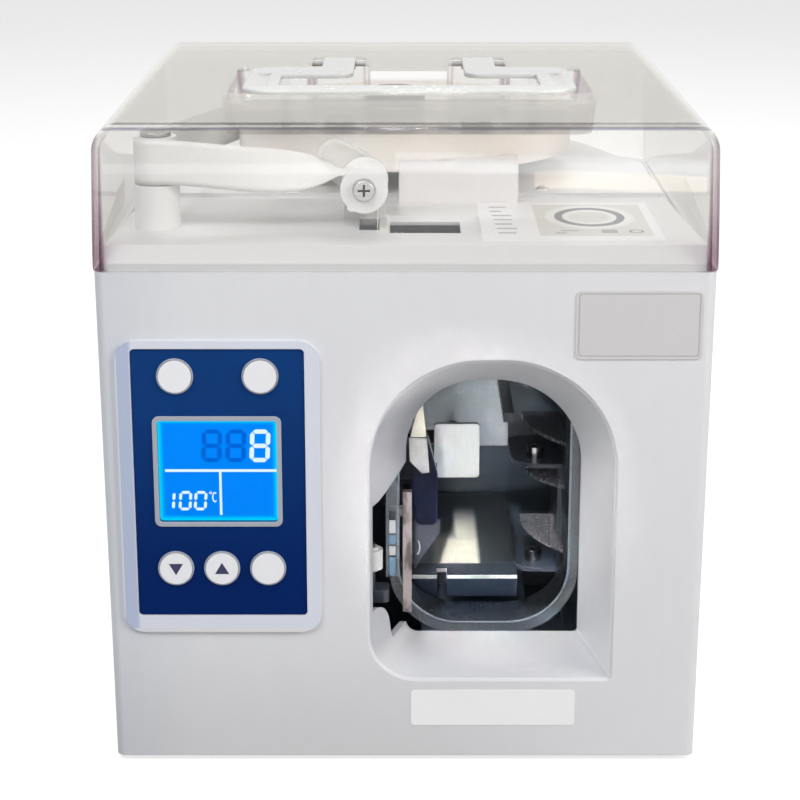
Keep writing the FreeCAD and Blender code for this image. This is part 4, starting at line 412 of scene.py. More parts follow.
@dataclass(frozen=True)
class FrontPlastic(MouldedPlastic):
    """Housing plastic: the panel's rim takes a blue cast with painted shade at its left end, the face gets
    painted shade low down and at its left side, and the bay's walls get painted light and shade.
    """

    rim: Frame = (-126.5, -38.0, 67.0, 204.5)
    # darker, bluer left end of the raised rim: painted shade
    rim_left_shade: Colour = (0.60, 0.68, 0.88)
    rim_rest: Colour = (0.96, 0.99, 1.07)
    rim_turn: Point = (-121.7, -119.3)
    rim_front: float = -145.2
    bay: Frame = (-20.0, 98.0, 36.0, 204.0)
    bay_front: float = -143.8
    # bay walls: painted light; the bay's left wall: painted shade; upward floor: painted light
    bay_painted_light: Colour = (1.30, 1.29, 1.27)
    bay_left_shade: Colour = (0.78, 0.79, 0.82)
    bay_floor_light: Colour = (1.02, 1.02, 1.03)
    arch_rise: Point = (160.0, 182.0)
    # darkens the face towards its left side: painted shade
    edge: Colour = (0.88, 0.90, 0.93)
    left_shade_fade: Point = (-135.0, -90.0)
    # darker low on the face's left and middle: painted shade
    low_shade: Colour = (0.88, 0.87, 0.86)
    low_shade_top: float = 70.0
    low_shade_right: float = 120.0
    side_facing: Point = (0.1, 0.6)
    up_facing: Point = (0.2, 0.7)

    def inside(self, graph: Graph, box: Frame) -> Socket:
        """1 within a box of the front, 0 outside.

        Args:
            graph: The graph.
            box: Left, right, low and high ends, in millimetres.

        Returns:
            The share.
        """
        across, _, height = graph.axes()
        left, right, low, high = (end * MM for end in box)
        side = (across - left).least(right - across)
        end = (height - low).least(high - height)
        return side.least(end) > 0.0

    def ground(self, graph: Graph) -> Any:
        """The plastic's colour, with painted shade and painted light by where it lies and which way it looks.

        Args:
            graph: The graph.

        Returns:
            The colour.
        """
        across, along, height = graph.axes()
        raised = self.inside(graph, self.rim) * (along < self.rim_front * MM)
        # raised rim: blue cast, with painted shade at its left end
        cast = graph.mix(raised, WHITE, graph.mix(across.ramp(*self.rim_turn), self.rim_left_shade, self.rim_rest))
        # painted shade low on the face, fading out to the right
        low_shade = (1 - height.ramp(0.0, self.low_shade_top)) * (1 - across.ramp(0.0, self.low_shade_right))
        # painted shade towards the left side of the face
        edge = graph.mix((1 - across.ramp(*self.left_shade_fade)) * (1 - raised), WHITE, self.edge)
        cast = graph.times(graph.mix(low_shade, cast, self.low_shade), edge)
        side_way, _, up_way = graph.direction()
        # bay walls get painted light, the bay's left wall painted shade and the floor painted light
        left_wall = side_way.rise(*self.side_facing) * (1 - height.ramp(*self.arch_rise))
        walls = graph.mix(left_wall, self.bay_painted_light, self.bay_left_shade)
        walls = graph.mix(up_way.rise(*self.up_facing), walls, self.bay_floor_light)
        deep = self.inside(graph, self.bay) * (along > self.bay_front * MM)
        return graph.times(self.colour, graph.mix(deep, cast, walls))


@dataclass(frozen=True)
class DeckPlastic(MouldedPlastic):
    """Deck plastic, with painted shade making it darker and bluer where it looks forward."""

    # painted shade on faces that look forward
    riser_shade: Colour = (0.615, 0.62, 0.64)
    forward_facing: Point = (0.5, 0.9)

    def ground(self, graph: Graph) -> Any:
        """The plastic's colour, with painted shade where it looks forward."""
        return graph.mix(abs(graph.direction()[1]).rise(*self.forward_facing), self.colour, self.riser_shade)


@dataclass(frozen=True)
class PanelFilm(Finish):
    """Satin film, lighter at the top than at the bottom, with a fine printed grain."""

    top: Colour
    bottom: Colour
    low: float
    high: float
    roughness: float = 0.36
    grain_size: float = 0.35
    grain_tone: float = 0.32
    grain_depth: float = 0.006
    cloud_size: float = 30.0
    cloud_tone: float = 0.25
    cloud_rough: float = 0.1
    edge_radius: float = 0.3
    specular: float = 0.12
    specular_tint: tuple[float, float, float, float] = (0.25, 0.5, 1.0, 1.0)

    def paint(self, graph: Graph) -> Socket:
        """Build the shader in a graph.

        Args:
            graph: The graph.

        Returns:
            The shader.
        """
        share = graph.axes()[2].ramp(self.low, self.high)
        grain = graph.noise(self.grain_size, 1.0)
        cloud = graph.wobble(self.cloud_size)
        tone = 1 + (grain - 0.5) * self.grain_tone + cloud * self.cloud_tone
        colour = graph.toned(graph.mix(share, self.bottom, self.top), tone)
        normal = graph.bump(grain, self.grain_depth, graph.rounded(self.edge_radius))
        return graph.principled(colour, self.roughness + cloud * self.cloud_rough, Normal=normal,
                                Specular_IOR_Level=self.specular, Specular_Tint=self.specular_tint)


@dataclass(frozen=True)
class LitDisplay(Finish):
    """Backlit display, with a brighter rim where the light enters."""

    middle: Colour
    rim: Colour
    box: Frame
    rim_width: float = 2.6
    ground: Colour = (0.0, 0.01, 0.03)
    roughness: float = 0.3
    pixel_pitch: float = 0.45
    base_tone: float = 0.97
    rise_tone: float = 0.05
    pixel_tone: float = 0.015
    cloud_size: float = 16.0
    cloud_tone: float = 0.08

    def paint(self, graph: Graph) -> Socket:
        """Build the shader in a graph.

        Args:
            graph: The graph.

        Returns:
            The shader.
        """
        across, _, height = graph.axes()
        left, right, low, high = self.box
        side = (across - left * MM).least(right * MM - across)
        end = (height - low * MM).least(high * MM - height)
        inside = side.least(end).ramp(0.0, self.rim_width)
        grid = across.wave(self.pixel_pitch) * height.wave(self.pixel_pitch)
        tone = self.base_tone + height.ramp(low, high) * self.rise_tone + grid * self.pixel_tone
        tone = tone + graph.wobble(self.cloud_size) * self.cloud_tone
        colour = graph.toned(graph.mix(inside, self.rim, self.middle), tone)
        return graph.principled(self.ground, self.roughness, Emission_Color=colour, Emission_Strength=1.0,
                                Specular_IOR_Level=0.0)


@dataclass(frozen=True)
class Glow(Finish):
    """Lit mark on the display."""

    colour: Colour
    roughness: float = 0.4
    base_tone: float = 0.97
    cloud_size: float = 1.2
    cloud_tone: float = 0.08

    def paint(self, graph: Graph) -> Socket:
        """Build the shader in a graph.

        Args:
            graph: The graph.

        Returns:
            The shader.
        """
        tone = self.base_tone + graph.wobble(self.cloud_size, 1.0) * self.cloud_tone
        return graph.principled(BLACK, self.roughness, Emission_Color=graph.toned(self.colour, tone),
                                Emission_Strength=1.0, Specular_IOR_Level=0.0)


@dataclass(frozen=True)
class ClearPlastic(Finish):
    """Clear plastic: tinted where it is seen from its edge, mirroring at a low angle, with faint haze."""

    tint: Colour
    edge_tint: Colour
    edge_power: float = 4.0
    haze_colour: Colour = (0.8, 0.8, 0.8)
    haze: float = 0.03
    least_gleam: float = 0.04
    gloss_roughness: float = 0.03
    wave: float = 0.02
    sheen: Colour = (0.97, 0.97, 0.98)
    wave_size: float = 35.0
    dust_size: float = 2.2
    dust_roughness: float = 0.5

    def body(self, graph: Graph) -> Socket:
        """The tinted shader that light passes through."""
        edge = graph.facing() ** self.edge_power
        return graph.blend(edge, graph.clear(self.tint), graph.clear(self.edge_tint))

    def paint(self, graph: Graph) -> Socket:
        """Build the shader in a graph.

        Args:
            graph: The graph.

        Returns:
            The shader.
        """
        ripple = graph.bump(graph.noise(self.wave_size, 1.0), self.wave)
        milky = graph.principled(self.haze_colour, self.dust_roughness)
        body = graph.blend(graph.noise(self.dust_size, 4.0) * (2 * self.haze), self.body(graph), milky)
        mirror = graph.principled(self.mirror(graph), self.gloss_roughness, Metallic=1.0, Normal=ripple)
        return graph.blend(graph.gleam(self.least_gleam), body, mirror)

    def mirror(self, graph: Graph) -> Any:
        """Colour of what the plastic mirrors."""
        return self.sheen


@dataclass(frozen=True)
class CoverPlastic(ClearPlastic):
    """The dust cover's plastic: violet in its front corners, at its rim and round the handle's well."""

    violet: Colour = (0.38, 0.22, 0.31)
    violet_depth: float = 0.85
    shadow: Colour = (0.42, 0.42, 0.50)
    shadow_depth: float = 0.7
    top_sheen: Colour = (0.74, 0.72, 0.66)
    top_facing: Point = (0.4, 0.9)
    violet_sheen: Colour = (0.42, 0.29, 0.37)
    violet_mirror: float = 0.9
    rim_top: float = 228.3
    rim_share: float = 0.9
    front: float = -145.5
    corner_depth: float = 12.0
    corner_top: float = 285.0
    corner_facing: Point = (0.15, 0.45)
    lid_facing: Point = (0.35, 0.7)
    corner_shares: Point = (0.45, 0.55)
    fold: float = 3.8
    fold_low: float = 293.8
    fold_high: float = 295.4
    fold_start: Point = (0.60, 0.80)
    fold_end: Point = (0.93, 0.995)
    well_centre: float = 2.0
    well_half: float = 86.0
    well_floor: float = 281.5
    well_top: float = 296.0
    wall_facing: Point = (0.5, 0.8)
    wall_share: float = 0.45
    dome_centre: Point = (-5.0, 13.5)
    dome_radius: float = 15.5
    dome_facing: Point = (0.85, 0.99)

    def violet_share(self, graph: Graph) -> Socket:
        """How violet each place is.

        Args:
            graph: The graph.

        Returns:
            A share from 0 to 1.
        """
        across, along, height = graph.axes()
        side_way, _, up_way = (abs(way) for way in graph.direction())
        corner = side_way.rise(*self.corner_facing) * (1 - up_way.rise(*self.lid_facing))
        corner = corner * (along < (self.front + self.corner_depth) * MM)
        high_share, low_share = self.corner_shares
        corner = corner * (high_share + (1 - height.ramp(self.rim_top, self.corner_top)) * low_share)
        rim = (height < self.rim_top * MM) * self.rim_share
        inside = (abs(across - self.well_centre * MM) < self.well_half * MM) * (height > self.well_floor * MM)
        wall = inside * side_way.rise(*self.wall_facing) * (height < self.well_top * MM) * self.wall_share
        dome = inside * (graph.off_axis(self.dome_centre, XY) < (self.dome_radius * MM) ** 2)
        dome = dome * (1 - up_way.rise(*self.dome_facing))
        return corner.most(rim).most(wall).most(dome)

    def fold_share(self, graph: Graph) -> Socket:
        """How dark the two lines of the upper front fold are.

        Args:
            graph: The graph.

        Returns:
            A share from 0 to 1.
        """
        _, along, height = graph.axes()
        up_way = abs(graph.direction()[2])
        near = along < (self.front + self.fold) * MM
        upper = up_way.rise(*self.fold_start) * (1 - up_way.rise(*self.fold_end))
        lower = (height > self.fold_low * MM) * (height < self.fold_high * MM)
        return near * upper.most(lower)

    def body(self, graph: Graph) -> Socket:
        """The tinted shader, with violet and grey lines where the plastic is folded or cut.

        Args:
            graph: The graph.

        Returns:
            The shader.
        """
        shaded = self.fold_share(graph) * self.shadow_depth
        body = graph.blend(shaded, super().body(graph), graph.clear(self.shadow))
        return graph.blend(self.violet_share(graph) * self.violet_depth, body, graph.clear(self.violet))

    def mirror(self, graph: Graph) -> Socket:
        """Colour of what the plastic mirrors: a warm grey on top, violet where the plastic is violet."""
        pale = graph.mix(abs(graph.direction()[2]).rise(*self.top_facing), self.sheen, self.top_sheen)
        return graph.mix(self.violet_share(graph) * self.violet_mirror, pale, self.violet_sheen)


@dataclass(frozen=True)
class FrostedPlastic(Finish):
    """Milky, half clear plastic."""

    colour: Colour
    clear_tint: Colour = (0.96, 0.96, 0.95)
    solid: float = 0.62
    roughness: float = 0.32
    cloud_size: float = 5.0
    cloud_share: float = 0.15
    edge_radius: float = 0.4
    edge_share: float = 0.3
    grain_size: float = 0.6
    grain_depth: float = 0.01

    def paint(self, graph: Graph) -> Socket:
        """Build the shader in a graph.

        Args:
            graph: The graph.

        Returns:
            The shader.
        """
        edge = graph.edge(graph.rounded(self.edge_radius))
        share = self.solid + graph.wobble(self.cloud_size, 3.0) * self.cloud_share + edge * self.edge_share
        relief = graph.bump(graph.noise(self.grain_size), self.grain_depth)
        body = graph.principled(self.colour, self.roughness, Normal=relief)
        return graph.blend(share.least(1.0), graph.clear(self.clear_tint), body)


@dataclass(frozen=True)
class BrushedMetal(Finish):
    """Metal with fine lines along one axis, cloudy tone and a painted highlight along its edges."""

    colour: Colour
    roughness: float = 0.34
    lines: Colour = (1.0, 1.0, 0.03)
    line_size: float = 0.35
    line_depth: float = 0.006
    metallic: float = 1.0
    cloud: float = 0.16
    cloud_size: float = 18.0
    edge_radius: float = 0.35
    # lightens the colour along the edges: a painted highlight
    edge_highlight: float = 0.45
    line_tone: float = 0.22
    line_rough: float = 0.18
    cloud_rough: float = 0.16

    def paint(self, graph: Graph) -> Socket:
        """Build the shader in a graph.

        Args:
            graph: The graph.

        Returns:
            The shader.
        """
        strokes = graph.noise(self.line_size, 3.0, graph.stretched(self.lines))
        cloud = graph.wobble(self.cloud_size, 4.0)
        soft = graph.rounded(self.edge_radius)
        edge = graph.edge(soft)
        # the edge term is a painted highlight along the edges
        tone = 1 + (strokes - 0.5) * self.line_tone + cloud * (2 * self.cloud) + edge * self.edge_highlight
        rough = self.roughness + (strokes - 0.5) * self.line_rough + cloud * self.cloud_rough
        colour, metallic = self.ground(graph)
        return graph.principled(graph.toned(colour, tone), rough, Metallic=metallic,
                                Normal=graph.bump(strokes, self.line_depth, soft))

    def ground(self, graph: Graph) -> tuple[Any, Any]:
        """The metal's colour and how metallic it is."""
        return self.colour, self.metallic


@dataclass(frozen=True)
class ScrewSteel(BrushedMetal):
    """Bright steel, with painted shade inside the cross-shaped hollow of the guide roller's screw."""

    recess_shade: Colour = (0.022, 0.023, 0.028)
    axis: Point = (-18.5, 260.3)
    recess_radius: float = 4.0
    head_height: float = 2.6
    skin: float = 0.1

    def ground(self, graph: Graph) -> tuple[Any, Any]:
        """The metal's colour, with painted shade in the screw's hollow, and how metallic it is.

        Args:
            graph: The graph.

        Returns:
            The colour.
        """
        near = graph.off_axis(self.axis, XZ) < (self.recess_radius * MM) ** 2
        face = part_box("guide_roller")[0].y - self.head_height * MM
        # points inside the screw head's hollow get painted shade
        deep = near * (graph.axes()[1] > face + self.skin * MM)
        return graph.mix(deep, self.colour, self.recess_shade), self.metallic


@dataclass(frozen=True)
class TraySteel(BrushedMetal):
    """Brushed steel: a painted dark reflection on the front strip and face, a painted highlight on the front
    lip and a pale patch of painted light and reflection on top.
    """

    # front strip and front face: painted dark reflection
    dark_front_reflection: Colour = (0.024, 0.032, 0.048)
    # pale patch on top: painted light and reflection
    polished: Colour = (0.96, 0.91, 0.80)
    glare_share: float = 0.85
    # bright front lip: painted highlight
    lip: Colour = (0.92, 0.91, 0.88)
    lip_turn: Point = (60.0, 60.4)
    dark_front_turn: Point = (-52.5, -51.5)
    strip_depth: float = 0.8
    lane_start: Point = (12.0, 20.0)
    lane_right: Point = (35.5, 38.5)
    lane_fade: Point = (-22.0, -4.0)
    streak_start: Point = (24.5, 27.5)
    streak_fade: Point = (0.0, 40.0)
    streak_share: float = 0.85
    blot_size: float = 14.0
    blot_shift: float = 14.0
    up_facing: Point = (0.4, 0.8)

    def ground(self, graph: Graph) -> tuple[Any, Any]:
        """The metal's colour and how metallic it is, by where it lies on the tray, with painted light,
        reflection and highlight.

        Args:
            graph: The graph.

        Returns:
            The two inputs.
        """
        across, along, height = graph.axes()
        ragged = along + graph.wobble(self.blot_size, 3.0) * (self.blot_shift * MM)
        right = 1 - across.ramp(*self.lane_right)
        lane = right * across.ramp(*self.lane_start) * (1 - ragged.ramp(*self.lane_fade))
        streak = right * across.ramp(*self.streak_start) * (1 - ragged.ramp(*self.streak_fade))
        top = abs(graph.direction()[2]).rise(*self.up_facing)
        # dark front strip: painted dark reflection
        strip = 1 - along.ramp(*self.dark_front_turn)
        # front lip: painted highlight
        lip = (1 - top) * height.ramp(*self.lip_turn)
        # pale lane and streak: painted light and reflection
        pale = lane.most(streak * self.streak_share) * top * (1 - strip)
        bright = graph.mix(pale, self.colour, self.polished)
        colour = graph.mix(lip, graph.mix(top * (1 - strip), self.dark_front_reflection, bright), self.lip)
        return colour, (1 - (pale * self.glare_share).most(lip)) * (1 - strip * top * self.strip_depth)


@dataclass(frozen=True)
class GalvanisedMetal(Finish):
    """Zinc-coated steel with faint crystal patches."""

    colour: Colour
    roughness: float = 0.36
    metallic: float = 0.6
    patch: float = 7.0
    cell_share: float = 0.6
    base_tone: float = 0.94
    patch_tone: float = 0.22
    patch_rough: float = 0.2
    line_size: float = 0.5
    line_shares: Colour = (1.0, 1.0, 0.15)
    line_tone: float = 0.12
    line_depth: float = 0.004
    edge_radius: float = 0.3
    # lightens the colour along the edges: a painted highlight
    edge_highlight_tone: float = 0.4

    def paint(self, graph: Graph) -> Socket:
        """Build the shader in a graph.

        Args:
            graph: The graph.

        Returns:
            The shader.
        """
        warp = graph.noise(self.patch, 3.0)
        crystal = graph.cells(self.patch) * self.cell_share + warp * (1 - self.cell_share) - 0.5
        fine = graph.noise(self.line_size, 3.0, graph.stretched(self.line_shares))
        soft = graph.rounded(self.edge_radius)
        tone = self.base_tone + crystal * self.patch_tone + (fine - 0.5) * self.line_tone
        # the edge term is a painted highlight along the edges
        tone = tone + graph.edge(soft) * self.edge_highlight_tone
        return graph.principled(graph.toned(self.colour, tone), self.roughness + crystal * self.patch_rough,
                                Metallic=self.metallic, Normal=graph.bump(fine, self.line_depth, soft))


@dataclass(frozen=True)
class PaintedSteel(Finish):
    """Dark coated steel with rubbed edges and fine dust."""

    colour: Colour
    rubbed: Colour
    roughness: float = 0.34
    grain_size: float = 0.9
    grain_depth: float = 0.01
    cloud_size: float = 25.0
    cloud_tone: float = 0.5
    cloud_rough: float = 0.15
    edge_radius: float = 0.4
    rub_size: float = 4.0
    rub_range: Point = (0.35, 0.6)
    rub_share: float = 0.8
    rub_metallic: float = 0.7
    coat: float = 0.2

    def paint(self, graph: Graph) -> Socket:
        """Build the shader in a graph.

        Args:
            graph: The graph.

        Returns:
            The shader.
        """
        cloud = graph.wobble(self.cloud_size, 3.0)
        soft = graph.rounded(self.edge_radius)
        edge = graph.edge(soft) * graph.noise(self.rub_size, 3.0).rise(*self.rub_range)
        colour = graph.toned(self.colour, 1 + cloud * self.cloud_tone)
        relief = graph.bump(graph.noise(self.grain_size), self.grain_depth, soft)
        return graph.principled(graph.mix(edge * self.rub_share, colour, self.rubbed),
                                self.roughness + cloud * self.cloud_rough, Metallic=edge * self.rub_metallic,
                                Normal=relief, Coat_Weight=self.coat, Coat_Roughness=self.coat)


@dataclass(frozen=True)
class WornCopper(Finish):
    """Copper-coloured bar with darker stains."""

    bright: Colour
    stain: Colour
    roughness: float = 0.3
    metallic: float = 0.85
    stain_size: float = 5.0
    stain_shares: Colour = (1.0, 1.0, 0.4)
    stain_range: Point = (0.42, 0.62)
    stain_rough: float = 0.2
    line_size: float = 0.3
    line_shares: Colour = (1.0, 1.0, 0.05)
    line_tone: float = 0.3
    line_depth: float = 0.006
    base_tone: float = 0.9
    edge_radius: float = 0.4
    # lightens the colour along the edges: a painted highlight
    edge_highlight_tone: float = 0.5

    def paint(self, graph: Graph) -> Socket:
        """Build the shader in a graph.

        Args:
            graph: The graph.

        Returns:
            The shader.
        """
        stains = graph.noise(self.stain_size, 5.0, graph.stretched(self.stain_shares)).rise(*self.stain_range)
        strokes = graph.noise(self.line_size, 2.0, graph.stretched(self.line_shares))
        soft = graph.rounded(self.edge_radius)
        # the edge term is a painted highlight along the edges
        tone = self.base_tone + (strokes - 0.5) * self.line_tone + graph.edge(soft) * self.edge_highlight_tone
        colour = graph.toned(graph.mix(stains, self.bright, self.stain), tone)
        return graph.principled(colour, self.roughness + stains * self.stain_rough, Metallic=self.metallic,
                                Normal=graph.bump(strokes, self.line_depth, soft))


@dataclass(frozen=True)
class PaperStrip(Finish):
    """Coated paper tape with fibres and slanting embossed lines."""

    colour: Colour
    roughness: float = 0.5
    stripe_pitch: float = 1.7
    stripe_slant: float = 0.9
    stripe_range: Point = (0.1, 0.9)
    stripe_rough: float = -0.12
    patch_size: float = 17.0
    patch_range: Point = (0.44, 0.56)
    fibre_size: float = 1.4
    fibre_relief: float = 0.3
    base_tone: float = 0.985
    fine_tone: float = 0.05
    depth: float = 0.05
    glow: float = 0.15
    glow_radii: Colour = (0.002, 0.002, 0.0018)

    def paint(self, graph: Graph) -> Socket:
        """Build the shader in a graph.

        Args:
            graph: The graph.

        Returns:
            The shader.
        """
        across, _, height = graph.axes()
        fibre = graph.noise(self.fibre_size, 5.0)
        wave = (across * self.stripe_slant - height).wave(self.stripe_pitch).rise(*self.stripe_range)
        stripes = wave * graph.noise(self.patch_size, 1.0).rise(*self.patch_range)
        tone = self.base_tone + (fibre - 0.5) * self.fine_tone + stripes * self.fine_tone
        relief = graph.bump(stripes + fibre * self.fibre_relief, self.depth)
        return graph.principled(graph.toned(self.colour, tone), self.roughness + stripes * self.stripe_rough,
                                Normal=relief, Subsurface_Weight=self.glow, Subsurface_Radius=self.glow_radii)


@dataclass(frozen=True)
class WoundPaper(Finish):
    """Edges of wound paper tape: close rings round the reel's axis."""

    colour: Colour
    shade: Colour
    axis: Point
    roughness: float = 0.72
    turn: float = 0.42
    turn_range: Point = (0.35, 0.65)
    turn_share: float = 0.25
    turn_depth: float = 0.08
    band: float = 5.0
    band_range: Point = (0.4, 0.6)
    band_share: float = 0.3
    layer_size: float = 1.2
    layer_shares: Colour = (0.05, 0.05, 1.0)
    layer_share: float = 0.1
    glow: float = 0.1
    glow_radii: Colour = (0.003, 0.0025, 0.002)

    def rings(self, graph: Graph, width: float, detail: float) -> Socket:
        """Random tone in rings round the axis.

        Args:
            graph: The graph.
            width: Width of a ring, in millimetres.
            detail: Number of finer layers.

        Returns:
            A value from 0 to 1.
        """
        radius = graph.off_axis(self.axis, XY) ** 0.5
        return graph.node("ShaderNodeTexNoise", {"noise_dimensions": "1D"},
                          {"W": radius, "Scale": 1 / (width * MM), "Detail": detail})

    def paint(self, graph: Graph) -> Socket:
        """Build the shader in a graph.

        Args:
            graph: The graph.

        Returns:
            The shader.
        """
        ring = self.rings(graph, self.turn, 3.0)
        shade = ring.rise(*self.turn_range) * self.turn_share
        shade = shade + self.rings(graph, self.band, 2.0).rise(*self.band_range) * self.band_share
        layer = graph.wobble(self.layer_size, 3.0, graph.stretched(self.layer_shares))
        shade = shade + layer * self.layer_share
        return graph.principled(graph.mix(shade, self.colour, self.shade), self.roughness,
                                Normal=graph.bump(ring, self.turn_depth), Subsurface_Weight=self.glow,
                                Subsurface_Radius=self.glow_radii)


@dataclass(frozen=True)
class PrintedSheet(Finish):
    """Printed film or label with a faint grain."""

    colour: Colour
    roughness: float = 0.3
    grain_size: float = 0.4
    grain_depth: float = 0.004
    cloud_size: float = 22.0
    cloud_rough: float = 0.12
    fine_tone: float = 0.05
    edge_radius: float = 0.1

    def paint(self, graph: Graph) -> Socket:
        """Build the shader in a graph.

        Args:
            graph: The graph.

        Returns:
            The shader.
        """
        grain = graph.noise(self.grain_size)
        cloud = graph.wobble(self.cloud_size, 3.0)
        tone = 1 + (grain - 0.5) * self.fine_tone + cloud * self.fine_tone
        relief = graph.bump(grain, self.grain_depth, graph.rounded(self.edge_radius))
        return graph.principled(graph.toned(self.colour, tone), self.roughness + cloud * self.cloud_rough,
                                Normal=relief)


@dataclass(frozen=True)
class Rubber(Finish):
    """Matt rubber with a dusty bloom."""

    colour: Colour
    bloom: Colour
    roughness: float = 0.78
    grain_size: float = 0.5
    grain_rough: float = 0.2
    grain_depth: float = 0.03
    bloom_size: float = 7.0
    bloom_range: Point = (0.45, 0.75)
    bloom_share: float = 0.4
    edge_radius: float = 0.5

    def paint(self, graph: Graph) -> Socket:
        """Build the shader in a graph.

        Args:
            graph: The graph.

        Returns:
            The shader.
        """
        grain = graph.noise(self.grain_size, 4.0)
        bloom = graph.noise(self.bloom_size, 4.0).rise(*self.bloom_range) * self.bloom_share
        relief = graph.bump(grain, self.grain_depth, graph.rounded(self.edge_radius))
        return graph.principled(graph.mix(bloom, self.colour, self.bloom),
                                self.roughness + (grain - 0.5) * self.grain_rough, Normal=relief)


@dataclass(frozen=True)
class CircuitBoard(Finish):
    """Lacquered board with rows of tracks and solder pads."""

    lacquer: Colour
    track: Colour
    pad: Colour
    roughness: float = 0.3
    pitch: float = 2.54
    row_range: Point = (0.55, 0.7)
    pad_range: Point = (0.86, 0.93)
    patch_size: float = 9.0
    patch_range: Point = (0.48, 0.52)
    pad_rough: float = 0.1
    pad_metallic: float = 0.9
    depth: float = 0.03

    def paint(self, graph: Graph) -> Socket:
        """Build the shader in a graph.

        Args:
            graph: The graph.

        Returns:
            The shader.
        """
        across, along, height = graph.axes()
        rows = height.wave(self.pitch)
        columns = (across + along).wave(self.pitch)
        broken = graph.noise(self.patch_size, 1.0).rise(*self.patch_range)
        tracks = rows.rise(*self.row_range) * broken
        pads = columns.rise(*self.pad_range) * rows.rise(*self.pad_range) * (1 - broken)
        colour = graph.mix(pads, graph.mix(tracks, self.lacquer, self.track), self.pad)
        return graph.principled(colour, self.roughness + pads * self.pad_rough,
                                Metallic=pads * self.pad_metallic,
                                Normal=graph.bump(tracks + pads, self.depth))


